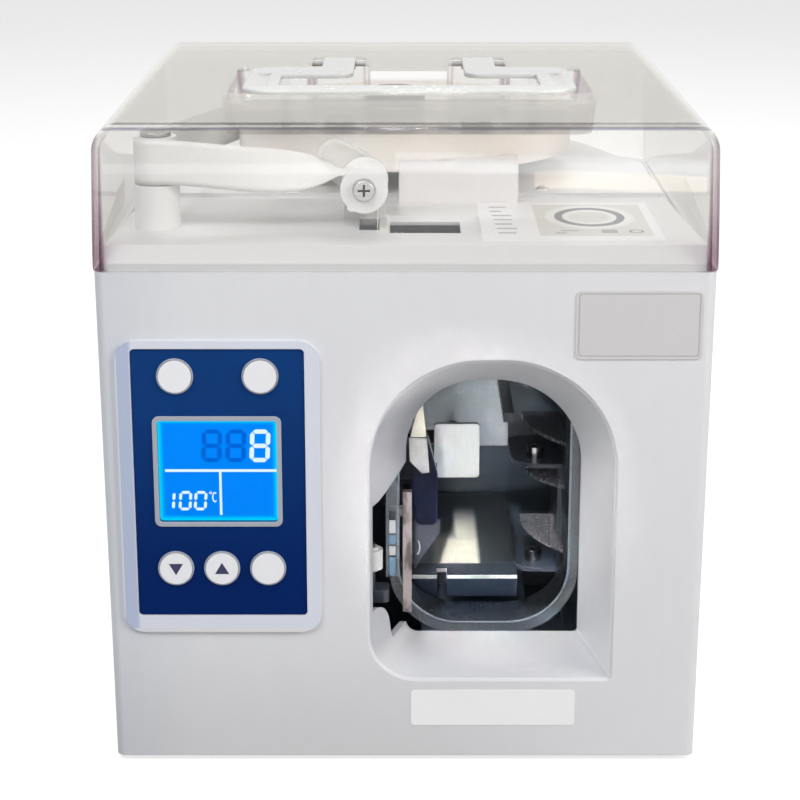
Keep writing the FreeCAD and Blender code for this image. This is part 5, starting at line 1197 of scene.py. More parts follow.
class Palette:
    """Every finish of the machine."""

    housing = MouldedPlastic("moulded_housing", (0.70, 0.71, 0.735), 0.36)
    front = FrontPlastic("moulded_front", (0.70, 0.71, 0.735), 0.36)
    deck = DeckPlastic("moulded_deck", (0.76, 0.76, 0.765), 0.32)
    sensor = MouldedPlastic("moulded_block", (0.66, 0.65, 0.645), 0.36, edge_radius=0.6)
    badge = MouldedPlastic("badge_plate_white", (0.60, 0.585, 0.595), 0.3, grain=0.005)
    handle = MouldedPlastic("moulded_handle", (0.55, 0.56, 0.55), 0.25, grain=0.006, edge_radius=0.8,
                            edge_highlight=0.12, coat=0.2)
    nylon = MouldedPlastic("turned_nylon", (0.84, 0.84, 0.84), 0.33, grain=0.008, edge_radius=0.4)
    button = MouldedPlastic("button_cap", (0.82, 0.83, 0.86), 0.3, grain=0.006, edge_radius=0.35)
    ring = MouldedPlastic("button_ring", (0.36, 0.39, 0.45), 0.34, grain=0.006, edge_highlight=0.25)
    black = MouldedPlastic("black_moulding", (0.040, 0.050, 0.068), 0.38, cloud=0.15, edge_highlight=1.6)
    arm = MouldedPlastic("clamp_arm_dark", (0.060, 0.061, 0.082), 0.5, cloud=0.2, edge_highlight=0.8,
                         specular=0.2)
    # strong painted highlights along the block's rounded edges
    navy_gloss = MouldedPlastic("glossy_navy_block", (0.003, 0.005, 0.013), 0.12, grain=0.02, grain_size=3.0,
                                cloud=0.3, cloud_size=12.0, edge_radius=1.6, edge_highlight=9.0, specular=0.12)
    cover = CoverPlastic("clear_cover", (0.988, 0.986, 0.980), (0.70, 0.69, 0.66), 3.0, (0.80, 0.79, 0.76),
                         0.012, gloss_roughness=0.02)
    track = ClearPlastic("clear_track", (0.90, 0.93, 0.96), (0.45, 0.52, 0.62), 2.5, (0.6, 0.66, 0.75), 0.08)
    smoky = ClearPlastic("smoky_fin", (0.62, 0.62, 0.65), (0.45, 0.46, 0.50), 2.0, (0.40, 0.41, 0.44),
                         0.32, 0.06)
    window = ClearPlastic("display_window_film", (0.99, 0.99, 1.0), (0.8, 0.9, 1.0), 6.0, (0.5, 0.7, 0.9),
                          0.0, 0.001)
    frosted = FrostedPlastic("frosted_guard", (0.84, 0.84, 0.81))
    bright = BrushedMetal("bright_steel", (0.38, 0.37, 0.37), 0.24, line_depth=0.003, cloud=0.2,
                          edge_highlight=0.8)
    screw = ScrewSteel("screw_steel", (0.50, 0.49, 0.49), 0.2, line_depth=0.002, cloud=0.1, edge_highlight=1.2)
    tip = BrushedMetal("clamp_tip_steel", (0.62, 0.58, 0.50), 0.42, cloud=0.4, cloud_size=7.0, edge_highlight=0.7)
    liner = BrushedMetal("liner_steel", (0.22, 0.25, 0.28), 0.3, (1.0, 0.04, 1.0), cloud=0.3, cloud_size=9.0,
                         edge_highlight=2.2)
    stop = BrushedMetal("stop_plate_steel", (0.68, 0.71, 0.71), 0.42, (1.0, 1.0, 0.08), 0.6, metallic=0.75,
                        cloud=0.1)
    tray = TraySteel("tray_steel_brushed", (0.22, 0.25, 0.275), 0.36, (1.0, 0.03, 1.0), 0.4, cloud=0.2,
                     edge_highlight=3.0)
    zinc = GalvanisedMetal("galvanised_sheet", (0.80, 0.88, 0.94), metallic=0.45)
    clamp_plate = GalvanisedMetal("clamp_plate_zinc", (0.52, 0.53, 0.54), 0.5, 0.3, 3.0)
    brass = BrushedMetal("cut_brass", (0.75, 0.56, 0.25), 0.28, (1.0, 0.05, 1.0), cloud=0.08)
    dark_steel = PaintedSteel("dark_steel_paint", (0.078, 0.104, 0.140), (0.36, 0.38, 0.40))
    copper = WornCopper("sealing_copper", (0.38, 0.33, 0.33), (0.145, 0.125, 0.125))
    tape = PaperStrip("embossed_tape", (0.83, 0.83, 0.82))
    label = PrintedSheet("blank_label", (0.88, 0.88, 0.895))
    label_panel = PrintedSheet("label_picture_ground", (0.70, 0.69, 0.66))
    label_light = PrintedSheet("label_pale_ring", (0.84, 0.83, 0.81))
    label_ink = PrintedSheet("label_grey_ink", (0.16, 0.17, 0.20))
    label_fade = PrintedSheet("label_soft_ink", (0.36, 0.36, 0.38))
    mark_ink = PrintedSheet("navy_ink", (0.012, 0.016, 0.075))
    chute_white = PrintedSheet("chute_white", (0.78, 0.80, 0.82))
    chute_blue = PrintedSheet("chute_blue", (0.20, 0.35, 0.52))
    feet = Rubber("foot_rubber_black", (0.018, 0.018, 0.019), (0.10, 0.10, 0.10))
    feed = Rubber("feed_rubber_grey", (0.05, 0.05, 0.055), (0.14, 0.14, 0.14))
    board = CircuitBoard("green_board", (0.012, 0.09, 0.035), (0.03, 0.17, 0.07), (0.72, 0.70, 0.62))
    digit = Glow("lit_digit", (0.78, 0.98, 1.0))
    ghost = Glow("unlit_digit", (0.0, 0.13, 0.72))


class Workshop:
    """Turns meshes in millimetres into finished pieces and dresses the carried-over nodes."""

    def dress(self, finish: Finish, *nodes: str) -> None:
        """Give nodes a finish.

        Args:
            finish: The finish.
            nodes: Names of the nodes.
        """
        for name in nodes:
            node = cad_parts[name]
            for slot in node.material_slots:
                slot.material = finish.material()
            LOG.info("dressed %s in %s", name, finish.name)

    def add(self, name: str, mesh: bmesh.types.BMesh, finish: Finish, body: Body, slot: Slot,
            stands_for: Iterable[str] = (), smooth: bool = False) -> bpy.types.Object:
        """Make a piece from a mesh.

        Args:
            name: The piece's name.
            mesh: Its mesh, in millimetres; it is freed.
            finish: Its finish.
            body: The body it rides on.
            slot: Its material slot in the record; not used.
            stands_for: Nodes that it replaces.
            smooth: Whether its faces are shaded smooth.

        Returns:
            The piece.
        """
        bmesh.ops.recalc_face_normals(mesh, faces=mesh.faces)
        for face in mesh.faces:
            face.smooth = smooth
        bmesh.ops.scale(mesh, vec=(MM, MM, MM), verts=mesh.verts)
        data = bpy.data.meshes.new(name)
        mesh.to_mesh(data)
        mesh.free()
        data.materials.append(finish.material())
        piece = bpy.data.objects.new(name, data)
        bpy.context.scene.collection.objects.link(piece)
        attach(piece, body.value)
        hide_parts(*stands_for)
        LOG.info("made %s", name)
        return piece

    def soften(self, piece: bpy.types.Object, width: float, segments: int = 2) -> None:
        """Round a piece's edges.

        Args:
            piece: The piece.
            width: Width of the rounding, in millimetres.
            segments: Number of steps.
        """
        bevel = piece.modifiers.new("soft edges", "BEVEL")
        bevel.width = width * MM
        bevel.segments = segments
        bevel.limit_method = "ANGLE"


def join_rows(mesh: bmesh.types.BMesh, rows: Sequence[Sequence[bmesh.types.BMVert]], closed: bool) -> None:
    """Skin rows of vertices with four-sided faces.

    Args:
        mesh: Mesh to add to.
        rows: The rows, of equal count.
        closed: Whether each row's end meets its start.
    """
    count = len(rows[0])
    for row, above in zip(rows, rows[1:]):
        for index in range(count if closed else count - 1):
            following = (index + 1) % count
            mesh.faces.new([row[index], row[following], above[following], above[index]])


def raise_outline(mesh: bmesh.types.BMesh, outline: Sequence[Vector], rise: Vector) -> None:
    """Add a slab: an outline raised by a vector.

    Args:
        mesh: Mesh to add to.
        outline: The corners, in order.
        rise: From the outline to its copy.
    """
    low = [mesh.verts.new(point) for point in outline]
    high = [mesh.verts.new(point + rise) for point in outline]
    mesh.faces.new(low[::-1])
    mesh.faces.new(high)
    join_rows(mesh, (low, high), True)


def oval(centre: Point, radii: Point, count: int = 64) -> list[Point]:
    """Points round an oval."""
    turns = [2 * math.pi * index / count for index in range(count)]
    return [(centre[0] + radii[0] * math.cos(turn), centre[1] + radii[1] * math.sin(turn)) for turn in turns]


def rectangle(left: float, right: float, low: float, high: float) -> list[Point]:
    """The four corners of a rectangle."""
    return [(left, low), (right, low), (right, high), (left, high)]


def raise_ring(mesh: bmesh.types.BMesh, outer: Sequence[Vector], inner: Sequence[Vector],
               rise: Vector) -> None:
    """Add a closed band between two outlines of equal count.

    Args:
        mesh: Mesh to add to.
        outer: The outer outline.
        inner: The inner outline.
        rise: Thickness of the band, as a vector.
    """
    sides = ((outer, 0), (outer, 1), (inner, 1), (inner, 0))
    rows = [[mesh.verts.new(point + rise * lift) for point in outline] for outline, lift in sides]
    join_rows(mesh, rows + rows[:1], True)


def arc(turns: Point, steps: int) -> list[float]:
    """Angles in radians from the first to the last of two turns in degrees, evenly apart."""
    return [math.radians(turns[0] + (turns[1] - turns[0]) * step / steps) for step in range(steps + 1)]


@dataclass
class Housing:
    """Front, side and rear covers, deck, base and feet."""

    shop: Workshop

    def build(self) -> None:
        """Dress the shell's nodes."""
        self.shop.dress(Palette.front, "front_cover")
        self.shop.dress(Palette.housing, "side_covers", "rear_cover")
        self.shop.dress(Palette.deck, "top_deck")
        self.shop.dress(Palette.dark_steel, "base_plate", "inner_frame")
        self.shop.dress(Palette.feet, "rubber_feet")
        self.shop.dress(Palette.bright, "steel_pins")
        self.shop.dress(Palette.screw, "fasteners")


class Segment(Enum):
    """The seven bars of a digit, as the two ends of each on a grid one wide and two high."""

    TOP = ((0, 2), (1, 2))
    UPPER_RIGHT = ((1, 2), (1, 1))
    LOWER_RIGHT = ((1, 1), (1, 0))
    BOTTOM = ((1, 0), (0, 0))
    LOWER_LEFT = ((0, 0), (0, 1))
    UPPER_LEFT = ((0, 1), (0, 2))
    MIDDLE = ((0, 1), (1, 1))


ALL_SEGMENTS = tuple(Segment)
ZERO_SEGMENTS = tuple(bar for bar in Segment if bar is not Segment.MIDDLE)
ONE_SEGMENTS = (Segment.UPPER_RIGHT, Segment.LOWER_RIGHT)


@dataclass
class Display:
    """Lit display with its digits, dividing lines and degree mark; places are shares of the window."""

    shop: Workshop
    middle: Colour = (0.0, 0.235, 0.95)
    rim: Colour = (0.0, 0.64, 1.0)
    mark_thickness: float = 0.06
    lean: float = 0.012
    large_low: float = 0.579
    large_high: float = 0.904
    large_bar: float = 2.0
    large_width: float = 0.185
    lit_left: float = 0.766
    unlit_lefts: Point = (0.358, 0.562)
    small_low: float = 0.095
    small_high: float = 0.290
    small_bar: float = 1.3
    one_ends: Point = (0.028, 0.133)
    zero_lefts: Point = (0.153, 0.283)
    zero_width: float = 0.122
    bar_gap: float = 0.22
    rules: tuple[Frame, ...] = ((0.049, 0.995, 0.482, 0.508), (0.506, 0.527, 0.050, 0.482))
    degree_place: Point = (0.430, 0.272)
    degree_radii: Point = (0.62, 0.30)
    degree_points: int = 20
    unit_place: Point = (0.466, 0.228)
    unit_rim: Point = (1.25, 2.45)
    unit_core: Point = (0.65, 1.85)
    unit_turns: Point = (50.0, 310.0)
    unit_steps: int = 14

    def __post_init__(self) -> None:
        """Take the window's box."""
        low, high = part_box("display_window")
        self.left = low.x / MM
        self.bottom = low.z / MM
        self.width = (high.x - low.x) / MM
        self.height = (high.z - low.z) / MM
        self.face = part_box("display_module")[0].y / MM
        self.lift = Vector((0, -self.mark_thickness, 0))

    def spot(self, across: float, up: float) -> Vector:
        """The point of the display's face at two shares of the window."""
        return Vector((self.left + self.width * across, self.face, self.bottom + self.height * up))

    def add_bar(self, mesh: bmesh.types.BMesh, start: Vector, end: Vector, width: float) -> None:
        """Add one six-sided bar of a digit.

        Args:
            mesh: Mesh to add to.
            start: Middle of one end.
            end: Middle of the other end.
            width: The bar's width.
        """
        along = (end - start).normalized()
        side = Vector((-along.z, 0, along.x)) * (width / 2)
        tip = along * (self.bar_gap + width / 2)
        shoulder = along * (self.bar_gap + width)
        low, high = start - along * width / 2, end + along * width / 2
        outline = [low + tip, low + shoulder + side, high - shoulder + side, high - tip,
                   high - shoulder - side, low + shoulder - side]
        raise_outline(mesh, outline, self.lift)

    def add_digit(self, mesh: bmesh.types.BMesh, bars: Sequence[Segment], left: float, right: float,
                  low: float, high: float, width: float) -> None:
        """Add a digit between four shares of the window.

        Args:
            mesh: Mesh to add to.
            bars: Which of its bars are there.
            left: Left end.
            right: Right end.
            low: Lower end.
            high: Upper end.
            width: Width of its bars, in millimetres.
        """
        inset_x = width / 2 / self.width
        inset_z = width / 2 / self.height
        span_x = right - left - 2 * inset_x - self.lean
        span_z = high - low - 2 * inset_z
        for bar in bars:
            ends = []
            for column, row in bar.value:
                across = left + inset_x + span_x * column + self.lean * row / 2
                ends.append(self.spot(across, low + inset_z + span_z * row / 2))
            self.add_bar(mesh, ends[0], ends[1], width)

    def add_block(self, mesh: bmesh.types.BMesh, left: float, right: float, low: float, high: float) -> None:
        """Add a plain bar between four shares of the window."""
        outline = [self.spot(across, up) for across, up in rectangle(left, right, low, high)]
        raise_outline(mesh, outline, self.lift)

    def build(self) -> None:
        """Dress the display and add its marks."""
        right = self.left + self.width
        top = self.bottom + self.height
        lit = LitDisplay("lit_display", self.middle, self.rim, (self.left, right, self.bottom, top))
        self.shop.dress(lit, "display_module")
        self.shop.dress(Palette.window, "display_window")
        marks = bmesh.new()
        self.add_digit(marks, ALL_SEGMENTS, self.lit_left, self.lit_left + self.large_width, self.large_low,
                       self.large_high, self.large_bar)
        self.add_digit(marks, ONE_SEGMENTS, *self.one_ends, self.small_low, self.small_high, self.small_bar)
        for left_end in self.zero_lefts:
            self.add_digit(marks, ZERO_SEGMENTS, left_end, left_end + self.zero_width, self.small_low,
                           self.small_high, self.small_bar)
        for rule in self.rules:
            self.add_block(marks, *rule)
        self.add_degree(marks)
        self.shop.add("display_marks", marks, Palette.digit, Body.ROOT, Slot.DISPLAY)
        ghosts = bmesh.new()
        for left_end in self.unlit_lefts:
            self.add_digit(ghosts, ALL_SEGMENTS, left_end, left_end + self.large_width, self.large_low,
                           self.large_high, self.large_bar)
        self.shop.add("display_unlit_marks", ghosts, Palette.ghost, Body.ROOT, Slot.DISPLAY)

    def add_degree(self, mesh: bmesh.types.BMesh) -> None:
        """Add the degree ring and the open ring of the unit beside the small digits.

        Args:
            mesh: Mesh to add to.
        """
        middle = self.spot(*self.degree_place)
        rings = []
        for radius in self.degree_radii:
            points = oval((0, 0), (radius, radius), self.degree_points)
            rings.append([middle + Vector((x, 0, z)) for x, z in points])
        raise_ring(mesh, rings[0], rings[1], self.lift)
        centre = self.spot(*self.unit_place)
        pairs = []
        for turn in arc(self.unit_turns, self.unit_steps):
            pairs.append([centre + Vector((radii[0] * math.cos(turn), 0, radii[1] * math.sin(turn)))
                          for radii in (self.unit_rim, self.unit_core)])
        for here, there in zip(pairs, pairs[1:]):
            raise_outline(mesh, [here[0], there[0], there[1], here[1]], self.lift)


@dataclass
class ControlPanel:
    """Navy panel with its button rings, five buttons and their plain arrow marks."""

    shop: Workshop
    arrow_half: float = 3.2
    arrow_height: float = 5.4
    arrow_base: float = 0.45
    arrow_thickness: float = 0.05
    film_top: Colour = (0.006, 0.042, 0.178)
    film_bottom: Colour = (0.001, 0.014, 0.105)

    def build(self) -> None:
        """Dress the panel and print the arrows."""
        low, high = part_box("control_panel")
        film = PanelFilm("navy_panel_film", self.film_top, self.film_bottom, low.z / MM, high.z / MM)
        self.shop.dress(film, "control_panel")
        self.shop.dress(Palette.ring, "panel_rings")
        self.shop.dress(Palette.button, "eject_button", "load_button", "lower_heat_button",
                        "raise_heat_button", "clear_button")
        self.add_arrow(Body.LOWER_HEAT, -1)
        self.add_arrow(Body.RAISE_HEAT, 1)

    def add_arrow(self, body: Body, way: int) -> None:
        """Print a triangle on a button.

        Args:
            body: The button.
            way: 1 points up, -1 down.
        """
        low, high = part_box(body.value)
        middle = (low + high) / 2 / MM
        face = low.y / MM
        base = middle.z - way * self.arrow_height * self.arrow_base
        corners = ((-self.arrow_half, 0), (self.arrow_half, 0), (0, way * self.arrow_height))
        outline = [Vector((middle.x + across, face, base + up)) for across, up in corners]
        mesh = bmesh.new()
        raise_outline(mesh, outline, Vector((0, -self.arrow_thickness, 0)))
        self.shop.add(f"{body.value}_arrow", mesh, Palette.mark_ink, body, Slot.PANEL)


@dataclass
class Labels:
    """Bare badge plate and labels, and the plain graphics of the deck label."""

    shop: Workshop
    print_thickness: float = 0.03
    picture: Frame = (60.0, 110.5, -117.0, -47.0)
    ring_centre: Point = (85.0, -76.0)
    pale_radii: Point = (20.5, 26.5)
    ring_outer: Point = (16.2, 21.0)
    ring_inner: Point = (12.6, 16.6)
    line_left: float = 39.5
    line_lengths: tuple[float, ...] = (8.0, 5.0, 9.0, 8.5, 7.5, 9.0, 8.0)
    line_start: float = -52.0
    line_pitch: float = 9.6
    line_slant: float = 0.35
    line_width: float = 2.2
    inner_radii: Point = (9.5, 11.5)
    shapes: tuple[Frame, ...] = ((88.0, 95.0, -111.0, -104.0), (70.0, 78.0, -107.0, -105.0),
                                 (67.0, 72.0, -112.0, -110.0))
    small_centre: Point = (103.5, -107.5)
    small_radii: tuple[Point, Point] = ((3.4, 3.6), (2.4, 2.6))

    def flat(self, outline: Iterable[Point], lift: float) -> list[Vector]:
        """Lay an outline on the deck label."""
        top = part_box("labels")[1].z / MM + lift
        return [Vector((x, y, top)) for x, y in outline]

    def print_slab(self, name: str, outlines: Iterable[Iterable[Point]], lift: float, finish: Finish) -> None:
        """Print plain patches on the deck label.

        Args:
            name: The piece's name.
            outlines: The outline of each patch.
            lift: How far above the label they start.
            finish: Their colour.
        """
        mesh = bmesh.new()
        for outline in outlines:
            raise_outline(mesh, self.flat(outline, lift), Vector((0, 0, self.print_thickness)))
        self.shop.add(name, mesh, finish, Body.ROOT, Slot.LABEL)

    def print_ring(self, name: str, centre: Point, radii: tuple[Point, Point], lift: float) -> None:
        """Print an oval ring on the deck label.

        Args:
            name: The piece's name.
            centre: Its middle.
            radii: Its outer and inner radii.
            lift: How far above the label it starts.
        """
        mesh = bmesh.new()
        outer, inner = (self.flat(oval(centre, pair), lift) for pair in radii)
        raise_ring(mesh, outer, inner, Vector((0, 0, self.print_thickness)))
        self.shop.add(name, mesh, Palette.label_ink, Body.ROOT, Slot.LABEL)

    def build(self) -> None:
        """Dress the plates and print the deck label."""
        self.shop.dress(Palette.badge, "badge_plate")
        self.shop.dress(Palette.label, "labels")
        thick = self.print_thickness
        self.print_slab("deck_label_picture", [rectangle(*self.picture)], 0.0, Palette.label_panel)
        self.print_slab("deck_label_pale_disc", [oval(self.ring_centre, self.pale_radii)], thick,
                        Palette.label_light)
        self.print_ring("deck_label_ring", self.ring_centre, (self.ring_outer, self.ring_inner), 2 * thick)
        self.print_slab("deck_label_inner_disc", [oval(self.ring_centre, self.inner_radii)], 2 * thick,
                        Palette.label_panel)
        self.print_slab("deck_label_shapes", [rectangle(*shape) for shape in self.shapes], thick,
                        Palette.label_fade)
        self.print_ring("deck_label_small_ring", self.small_centre, self.small_radii, thick)
        lines = []
        for index, length in enumerate(self.line_lengths):
            back = self.line_start - index * self.line_pitch
            left = self.line_left + self.line_slant * index
            lines.append(rectangle(left, left + length, back - self.line_width, back))
        self.print_slab("deck_label_lines", lines, 0.0, Palette.label_fade)


@dataclass
class TapePath:
    """Wound roll, hub, post, roller, guard and the threaded tape; sizes in millimetres."""

    shop: Workshop
    tape_width: float = 20.0
    tape_thickness: float = 0.34
    roll_centre: Point = (0.0, 47.0)
    roll_radius: float = 85.0
    core_radius: float = 20.0
    post_centre: Point = (-112.0, -95.0)
    wrap_radius: float = 9.82
    tape_low: float = 262.8
    roller_x: float = -18.5
    roller_z: float = 260.3
    bend_radius: float = 6.0
    tape_y: float = -91.45
    lead_x: float = -30.2
    feed_z: float = 222.0
    web_steps: int = 72
    wrap_steps: int = 20
    across_steps: int = 8
    sag: float = 0.9
    curl: float = 0.35
    bow_share: float = 0.3
    twist_power: float = 3.2
    roll_steps: int = 60
    roll_turns: int = 160
    top_uneven: float = 0.22
    bottom_uneven: float = 0.12
    roll_bevel: float = 0.5
    roll_round: Point = (0.4, 0.1)
    paper: Colour = (0.90, 0.87, 0.835)
    paper_shade: Colour = (0.78, 0.735, 0.695)
    seed: int = 11

    def tangents(self) -> tuple[Vector, Vector]:
        """Find where the tape leaves the roll and meets the post, seen from above.

        Returns:
            The two points, at height zero.
        """
        roll = Vector((*self.roll_centre, 0))
        post = Vector((*self.post_centre, 0))
        run = post - roll
        along = run.normalized()
        side = Vector((along.y, -along.x, 0))
        lean = (self.roll_radius - self.wrap_radius) / run.length
        outward = along * lean + side * math.sqrt(1 - lean * lean)
        return roll + outward * self.roll_radius, post + outward * self.wrap_radius

    def stations(self) -> list[tuple[Vector, Vector]]:
        """Middle of the tape and its direction across, along its whole way.

        Returns:
            Pairs of middle and direction across.
        """
        up = Vector((0, 0, 1))
        middle = self.tape_low + self.tape_width / 2
        roll_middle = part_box("tape_roll")[0].z / MM + self.tape_width / 2
        leave, meet = self.tangents()
        places = []
        for step in range(self.wrap_steps):
            share = step / self.wrap_steps
            point = leave.lerp(meet, share)
            places.append((Vector((point.x, point.y, roll_middle + (middle - roll_middle) * share)), up))
        post = Vector((*self.post_centre, 0))
        begin = math.atan2(meet.y - post.y, meet.x - post.x) % (2 * math.pi)
        for step in range(self.wrap_steps):
            turn = begin + (1.5 * math.pi - begin) * step / self.wrap_steps
            spoke = Vector((math.cos(turn), math.sin(turn), 0)) * self.wrap_radius
            places.append((post + spoke + Vector((0, 0, middle)), up))
        start = Vector((self.post_centre[0], self.post_centre[1] - self.wrap_radius, middle))
        end = Vector((self.lead_x, self.tape_y, self.roller_z + self.bend_radius))
        for step in range(self.web_steps + 1):
            share = step / self.web_steps
            ease = share * share * (3 - 2 * share)
            turn = math.pi / 2 * share ** self.twist_power
            drop = self.sag * math.sin(math.pi * share) ** 2
            point = Vector((start.x + (end.x - start.x) * share, start.y + (end.y - start.y) * ease,
                            start.z + (end.z - start.z) * ease - drop))
            places.append((point, Vector((0, math.sin(turn), math.cos(turn)))))
        level = Vector((0, 1, 0))
        for step in range(self.wrap_steps + 1):
            turn = math.pi / 2 * (1 - step / self.wrap_steps)
            places.append((Vector((self.roller_x + self.bend_radius * math.cos(turn), self.tape_y,
                                   self.roller_z + self.bend_radius * math.sin(turn))), level))
        for step in range(1, self.wrap_steps + 1):
            depth = (self.roller_z - self.feed_z) * step / self.wrap_steps
            point = Vector((self.roller_x + self.bend_radius, self.tape_y, self.roller_z - depth))
            places.append((point, level))
        return places

    def threaded(self) -> bmesh.types.BMesh:
        """Make one strip of tape from the roll to the feed, slightly hollow across its width.

        Returns:
            The mesh.
        """
        mesh = bmesh.new()
        places = self.stations()
        rows = []
        for index, (middle, across) in enumerate(places):
            following = places[min(index + 1, len(places) - 1)][0]
            before = places[max(index - 1, 0)][0]
            outward = (following - before).normalized().cross(across).normalized()
            row = []
            for step in range(self.across_steps + 1):
                share = step / self.across_steps - 0.5
                bow = self.curl * (1 - 4 * share * share) * math.sin(math.pi * index / len(places)) ** 2
                hollow = outward * bow * self.bow_share
                row.append(mesh.verts.new(middle + across * (share * self.tape_width) + hollow))
            rows.append(row)
        join_rows(mesh, rows, False)
        return mesh

    def wound(self) -> bmesh.types.BMesh:
        """Make the roll: a ring whose flat sides step a little from turn to turn.

        Returns:
            The mesh.
        """
        mesh = bmesh.new()
        dice = random.Random(self.seed)
        low, high = (corner.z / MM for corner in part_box("tape_roll"))
        span = self.roll_radius - self.core_radius
        radii = [self.core_radius + span * step / self.roll_steps for step in range(self.roll_steps + 1)]
        top = [(radius, high - dice.uniform(0.0, self.top_uneven)) for radius in radii]
        bottom = [(radius, low + dice.uniform(0.0, self.bottom_uneven)) for radius in reversed(radii)]
        inset, drop = self.roll_round
        low_edge, high_edge = low + self.roll_bevel, high - self.roll_bevel
        core, rim = radii[0], radii[-1]
        profile = [(core, low_edge), (core, high_edge), *top[1:-1], (rim - inset, high - drop),
                   (rim, high_edge), (rim, low_edge), (rim - inset, low + drop), *bottom[1:-1]]
        rings = []
        for radius, height in profile:
            outline = oval(self.roll_centre, (radius, radius), self.roll_turns)
            rings.append([mesh.verts.new((x, y, height)) for x, y in outline])
        join_rows(mesh, rings + rings[:1], True)
        return mesh

    def build(self) -> None:
        """Dress the nodes and add the roll and the threaded tape."""
        wound = WoundPaper("wound_tape_edges", self.paper, self.paper_shade, self.roll_centre)
        self.shop.add("wound_tape", self.wound(), wound, Body.REEL, Slot.TAPE, ["tape_roll"], smooth=True)
        strip = self.shop.add("threaded_tape", self.threaded(), Palette.tape, Body.ROOT, Slot.TAPE,
                              ["tape_web"], smooth=True)
        thick = strip.modifiers.new("paper thickness", "SOLIDIFY")
        thick.thickness = self.tape_thickness * MM
        thick.offset = 0.0
        self.shop.dress(Palette.nylon, "reel_spindle", "guide_post", "roller_bracket", "reel_hub",
                        "guide_sleeve", "guide_roller", "idler_roller", "drive_gear")
        self.shop.dress(Palette.frosted, "tape_guard")
        self.shop.dress(Palette.sensor, "sensor_block")


@dataclass
class StrappingBay:
    """What shows through the arch: clamp, stop, tray, track, fins, chute and bar."""

    shop: Workshop
    mark_place: Point = (0.9, -14.2)
    mark_radii: Point = (2.1, 4.2)
    mark_width: float = 0.7
    mark_thickness: float = 0.12
    mark_turns: Point = (-75.0, 65.0)
    mark_steps: int = 16
    strip_shares: tuple[float, ...] = (0.0, 0.22, 0.34, 0.46, 0.62)
    plate_corners: tuple[Point, ...] = ((-0.8, 0.0), (7.9, -0.5), (9.1, -17.6), (5.5, -18.0), (-0.2, -12.0))
    plate_thickness: float = 0.5
    strip_gap: float = 0.5
    strip_inset: float = 1.5
    strip_depth: float = 0.35
    strip_thickness: float = 0.8
    strip_rounding: float = 0.15

    def build(self) -> None:
        """Dress the mechanism and add its small details."""
        shop = self.shop
        shop.dress(Palette.zinc, "back_plate", "feed_frame", "feed_motor", "power_supply")
        shop.dress(Palette.stop, "stop_plate")
        shop.dress(Palette.bright, "stop_rod")
        shop.dress(Palette.tip, "clamp_tip")
        shop.dress(Palette.liner, "track_liner")
        shop.dress(Palette.tray, "note_tray")
        shop.dress(Palette.track, "loop_track", "tape_chute")
        shop.dress(Palette.black, "press_head", "feeder_bracket", "fin_carrier")
        shop.dress(Palette.navy_gloss, "clamp_block")
        shop.dress(Palette.arm, "clamp_arm")
        shop.dress(Palette.copper, "sealing_bar")
        shop.dress(Palette.smoky, "guide_fins")
        shop.dress(Palette.feed, "feed_drum", "pinch_roller")
        shop.dress(Palette.brass, "motor_pinion")
        self.add_clamp_plate()
        self.add_arm_mark()
        self.add_chute_strips()

    def add_clamp_plate(self) -> None:
        """Add the thin zinc plate on the upper front of the clamp."""
        left, front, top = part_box("clamp_tip")[0] / MM
        mesh = bmesh.new()
        outline = [Vector((left + x, front, top + z)) for x, z in self.plate_corners]
        raise_outline(mesh, outline, Vector((0, -self.plate_thickness, 0)))
        plate = self.shop.add("clamp_front_plate", mesh, Palette.clamp_plate, Body.CLAMP, Slot.GALVANISED)
        self.shop.soften(plate, self.plate_thickness / 4)

    def add_arm_mark(self) -> None:
        """Add the open ring mark on the clamp's arm."""
        low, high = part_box("clamp_arm")
        centre = Vector((low.x / MM + self.mark_place[0], low.y / MM, high.z / MM + self.mark_place[1]))
        turns = arc(self.mark_turns, self.mark_steps)
        outline = []
        for inset, order in ((0, turns), (self.mark_width, turns[::-1])):
            wide, tall = self.mark_radii[0] - inset, self.mark_radii[1] - inset
            outline += [centre + Vector((wide * math.cos(turn), 0, tall * math.sin(turn))) for turn in order]
        mesh = bmesh.new()
        raise_outline(mesh, outline, Vector((0, -self.mark_thickness, 0)))
        self.shop.add("clamp_arm_mark", mesh, Palette.bright, Body.CLAMP, Slot.STEEL)

    def add_chute_strips(self) -> None:
        """Add the white and blue strips of tape guide seen inside the chute."""
        low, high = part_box("tape_chute")
        low, high = low / MM, high / MM
        height = high.z - low.z
        finishes = (Palette.chute_blue, Palette.chute_white, Palette.chute_blue, Palette.chute_white)
        for number, finish in enumerate(finishes):
            start = low.z + height * self.strip_shares[number] + self.strip_gap
            end = low.z + height * self.strip_shares[number + 1] - self.strip_gap
            mesh = bmesh.new()
            corners = rectangle(low.x + self.strip_inset, high.x - self.strip_inset, start, end)
            outline = [Vector((x, low.y + self.strip_depth, z)) for x, z in corners]
            raise_outline(mesh, outline, Vector((0, self.strip_thickness, 0)))
            strip = self.shop.add(f"chute_strip_{number}", mesh, finish, Body.ROOT, Slot.CHUTE)
            self.shop.soften(strip, self.strip_rounding)


@dataclass
class DustCover:
    """Clear cover and its folding handle."""

    shop: Workshop

    def build(self) -> None:
        """Dress the cover, its hinges and the handle."""
        self.shop.dress(Palette.cover, "dust_cover")
        self.shop.dress(Palette.handle, "carry_handle")
        self.shop.dress(Palette.black, "cover_hinges")


@dataclass
class Rear:
    """Power inlet, power switch and the boards behind the rear cover."""

    shop: Workshop

    def build(self) -> None:
        """Dress the rear nodes."""
        self.shop.dress(Palette.black, "power_inlet", "switch_frame", "switch_rocker")
        self.shop.dress(Palette.board, "circuit_boards")


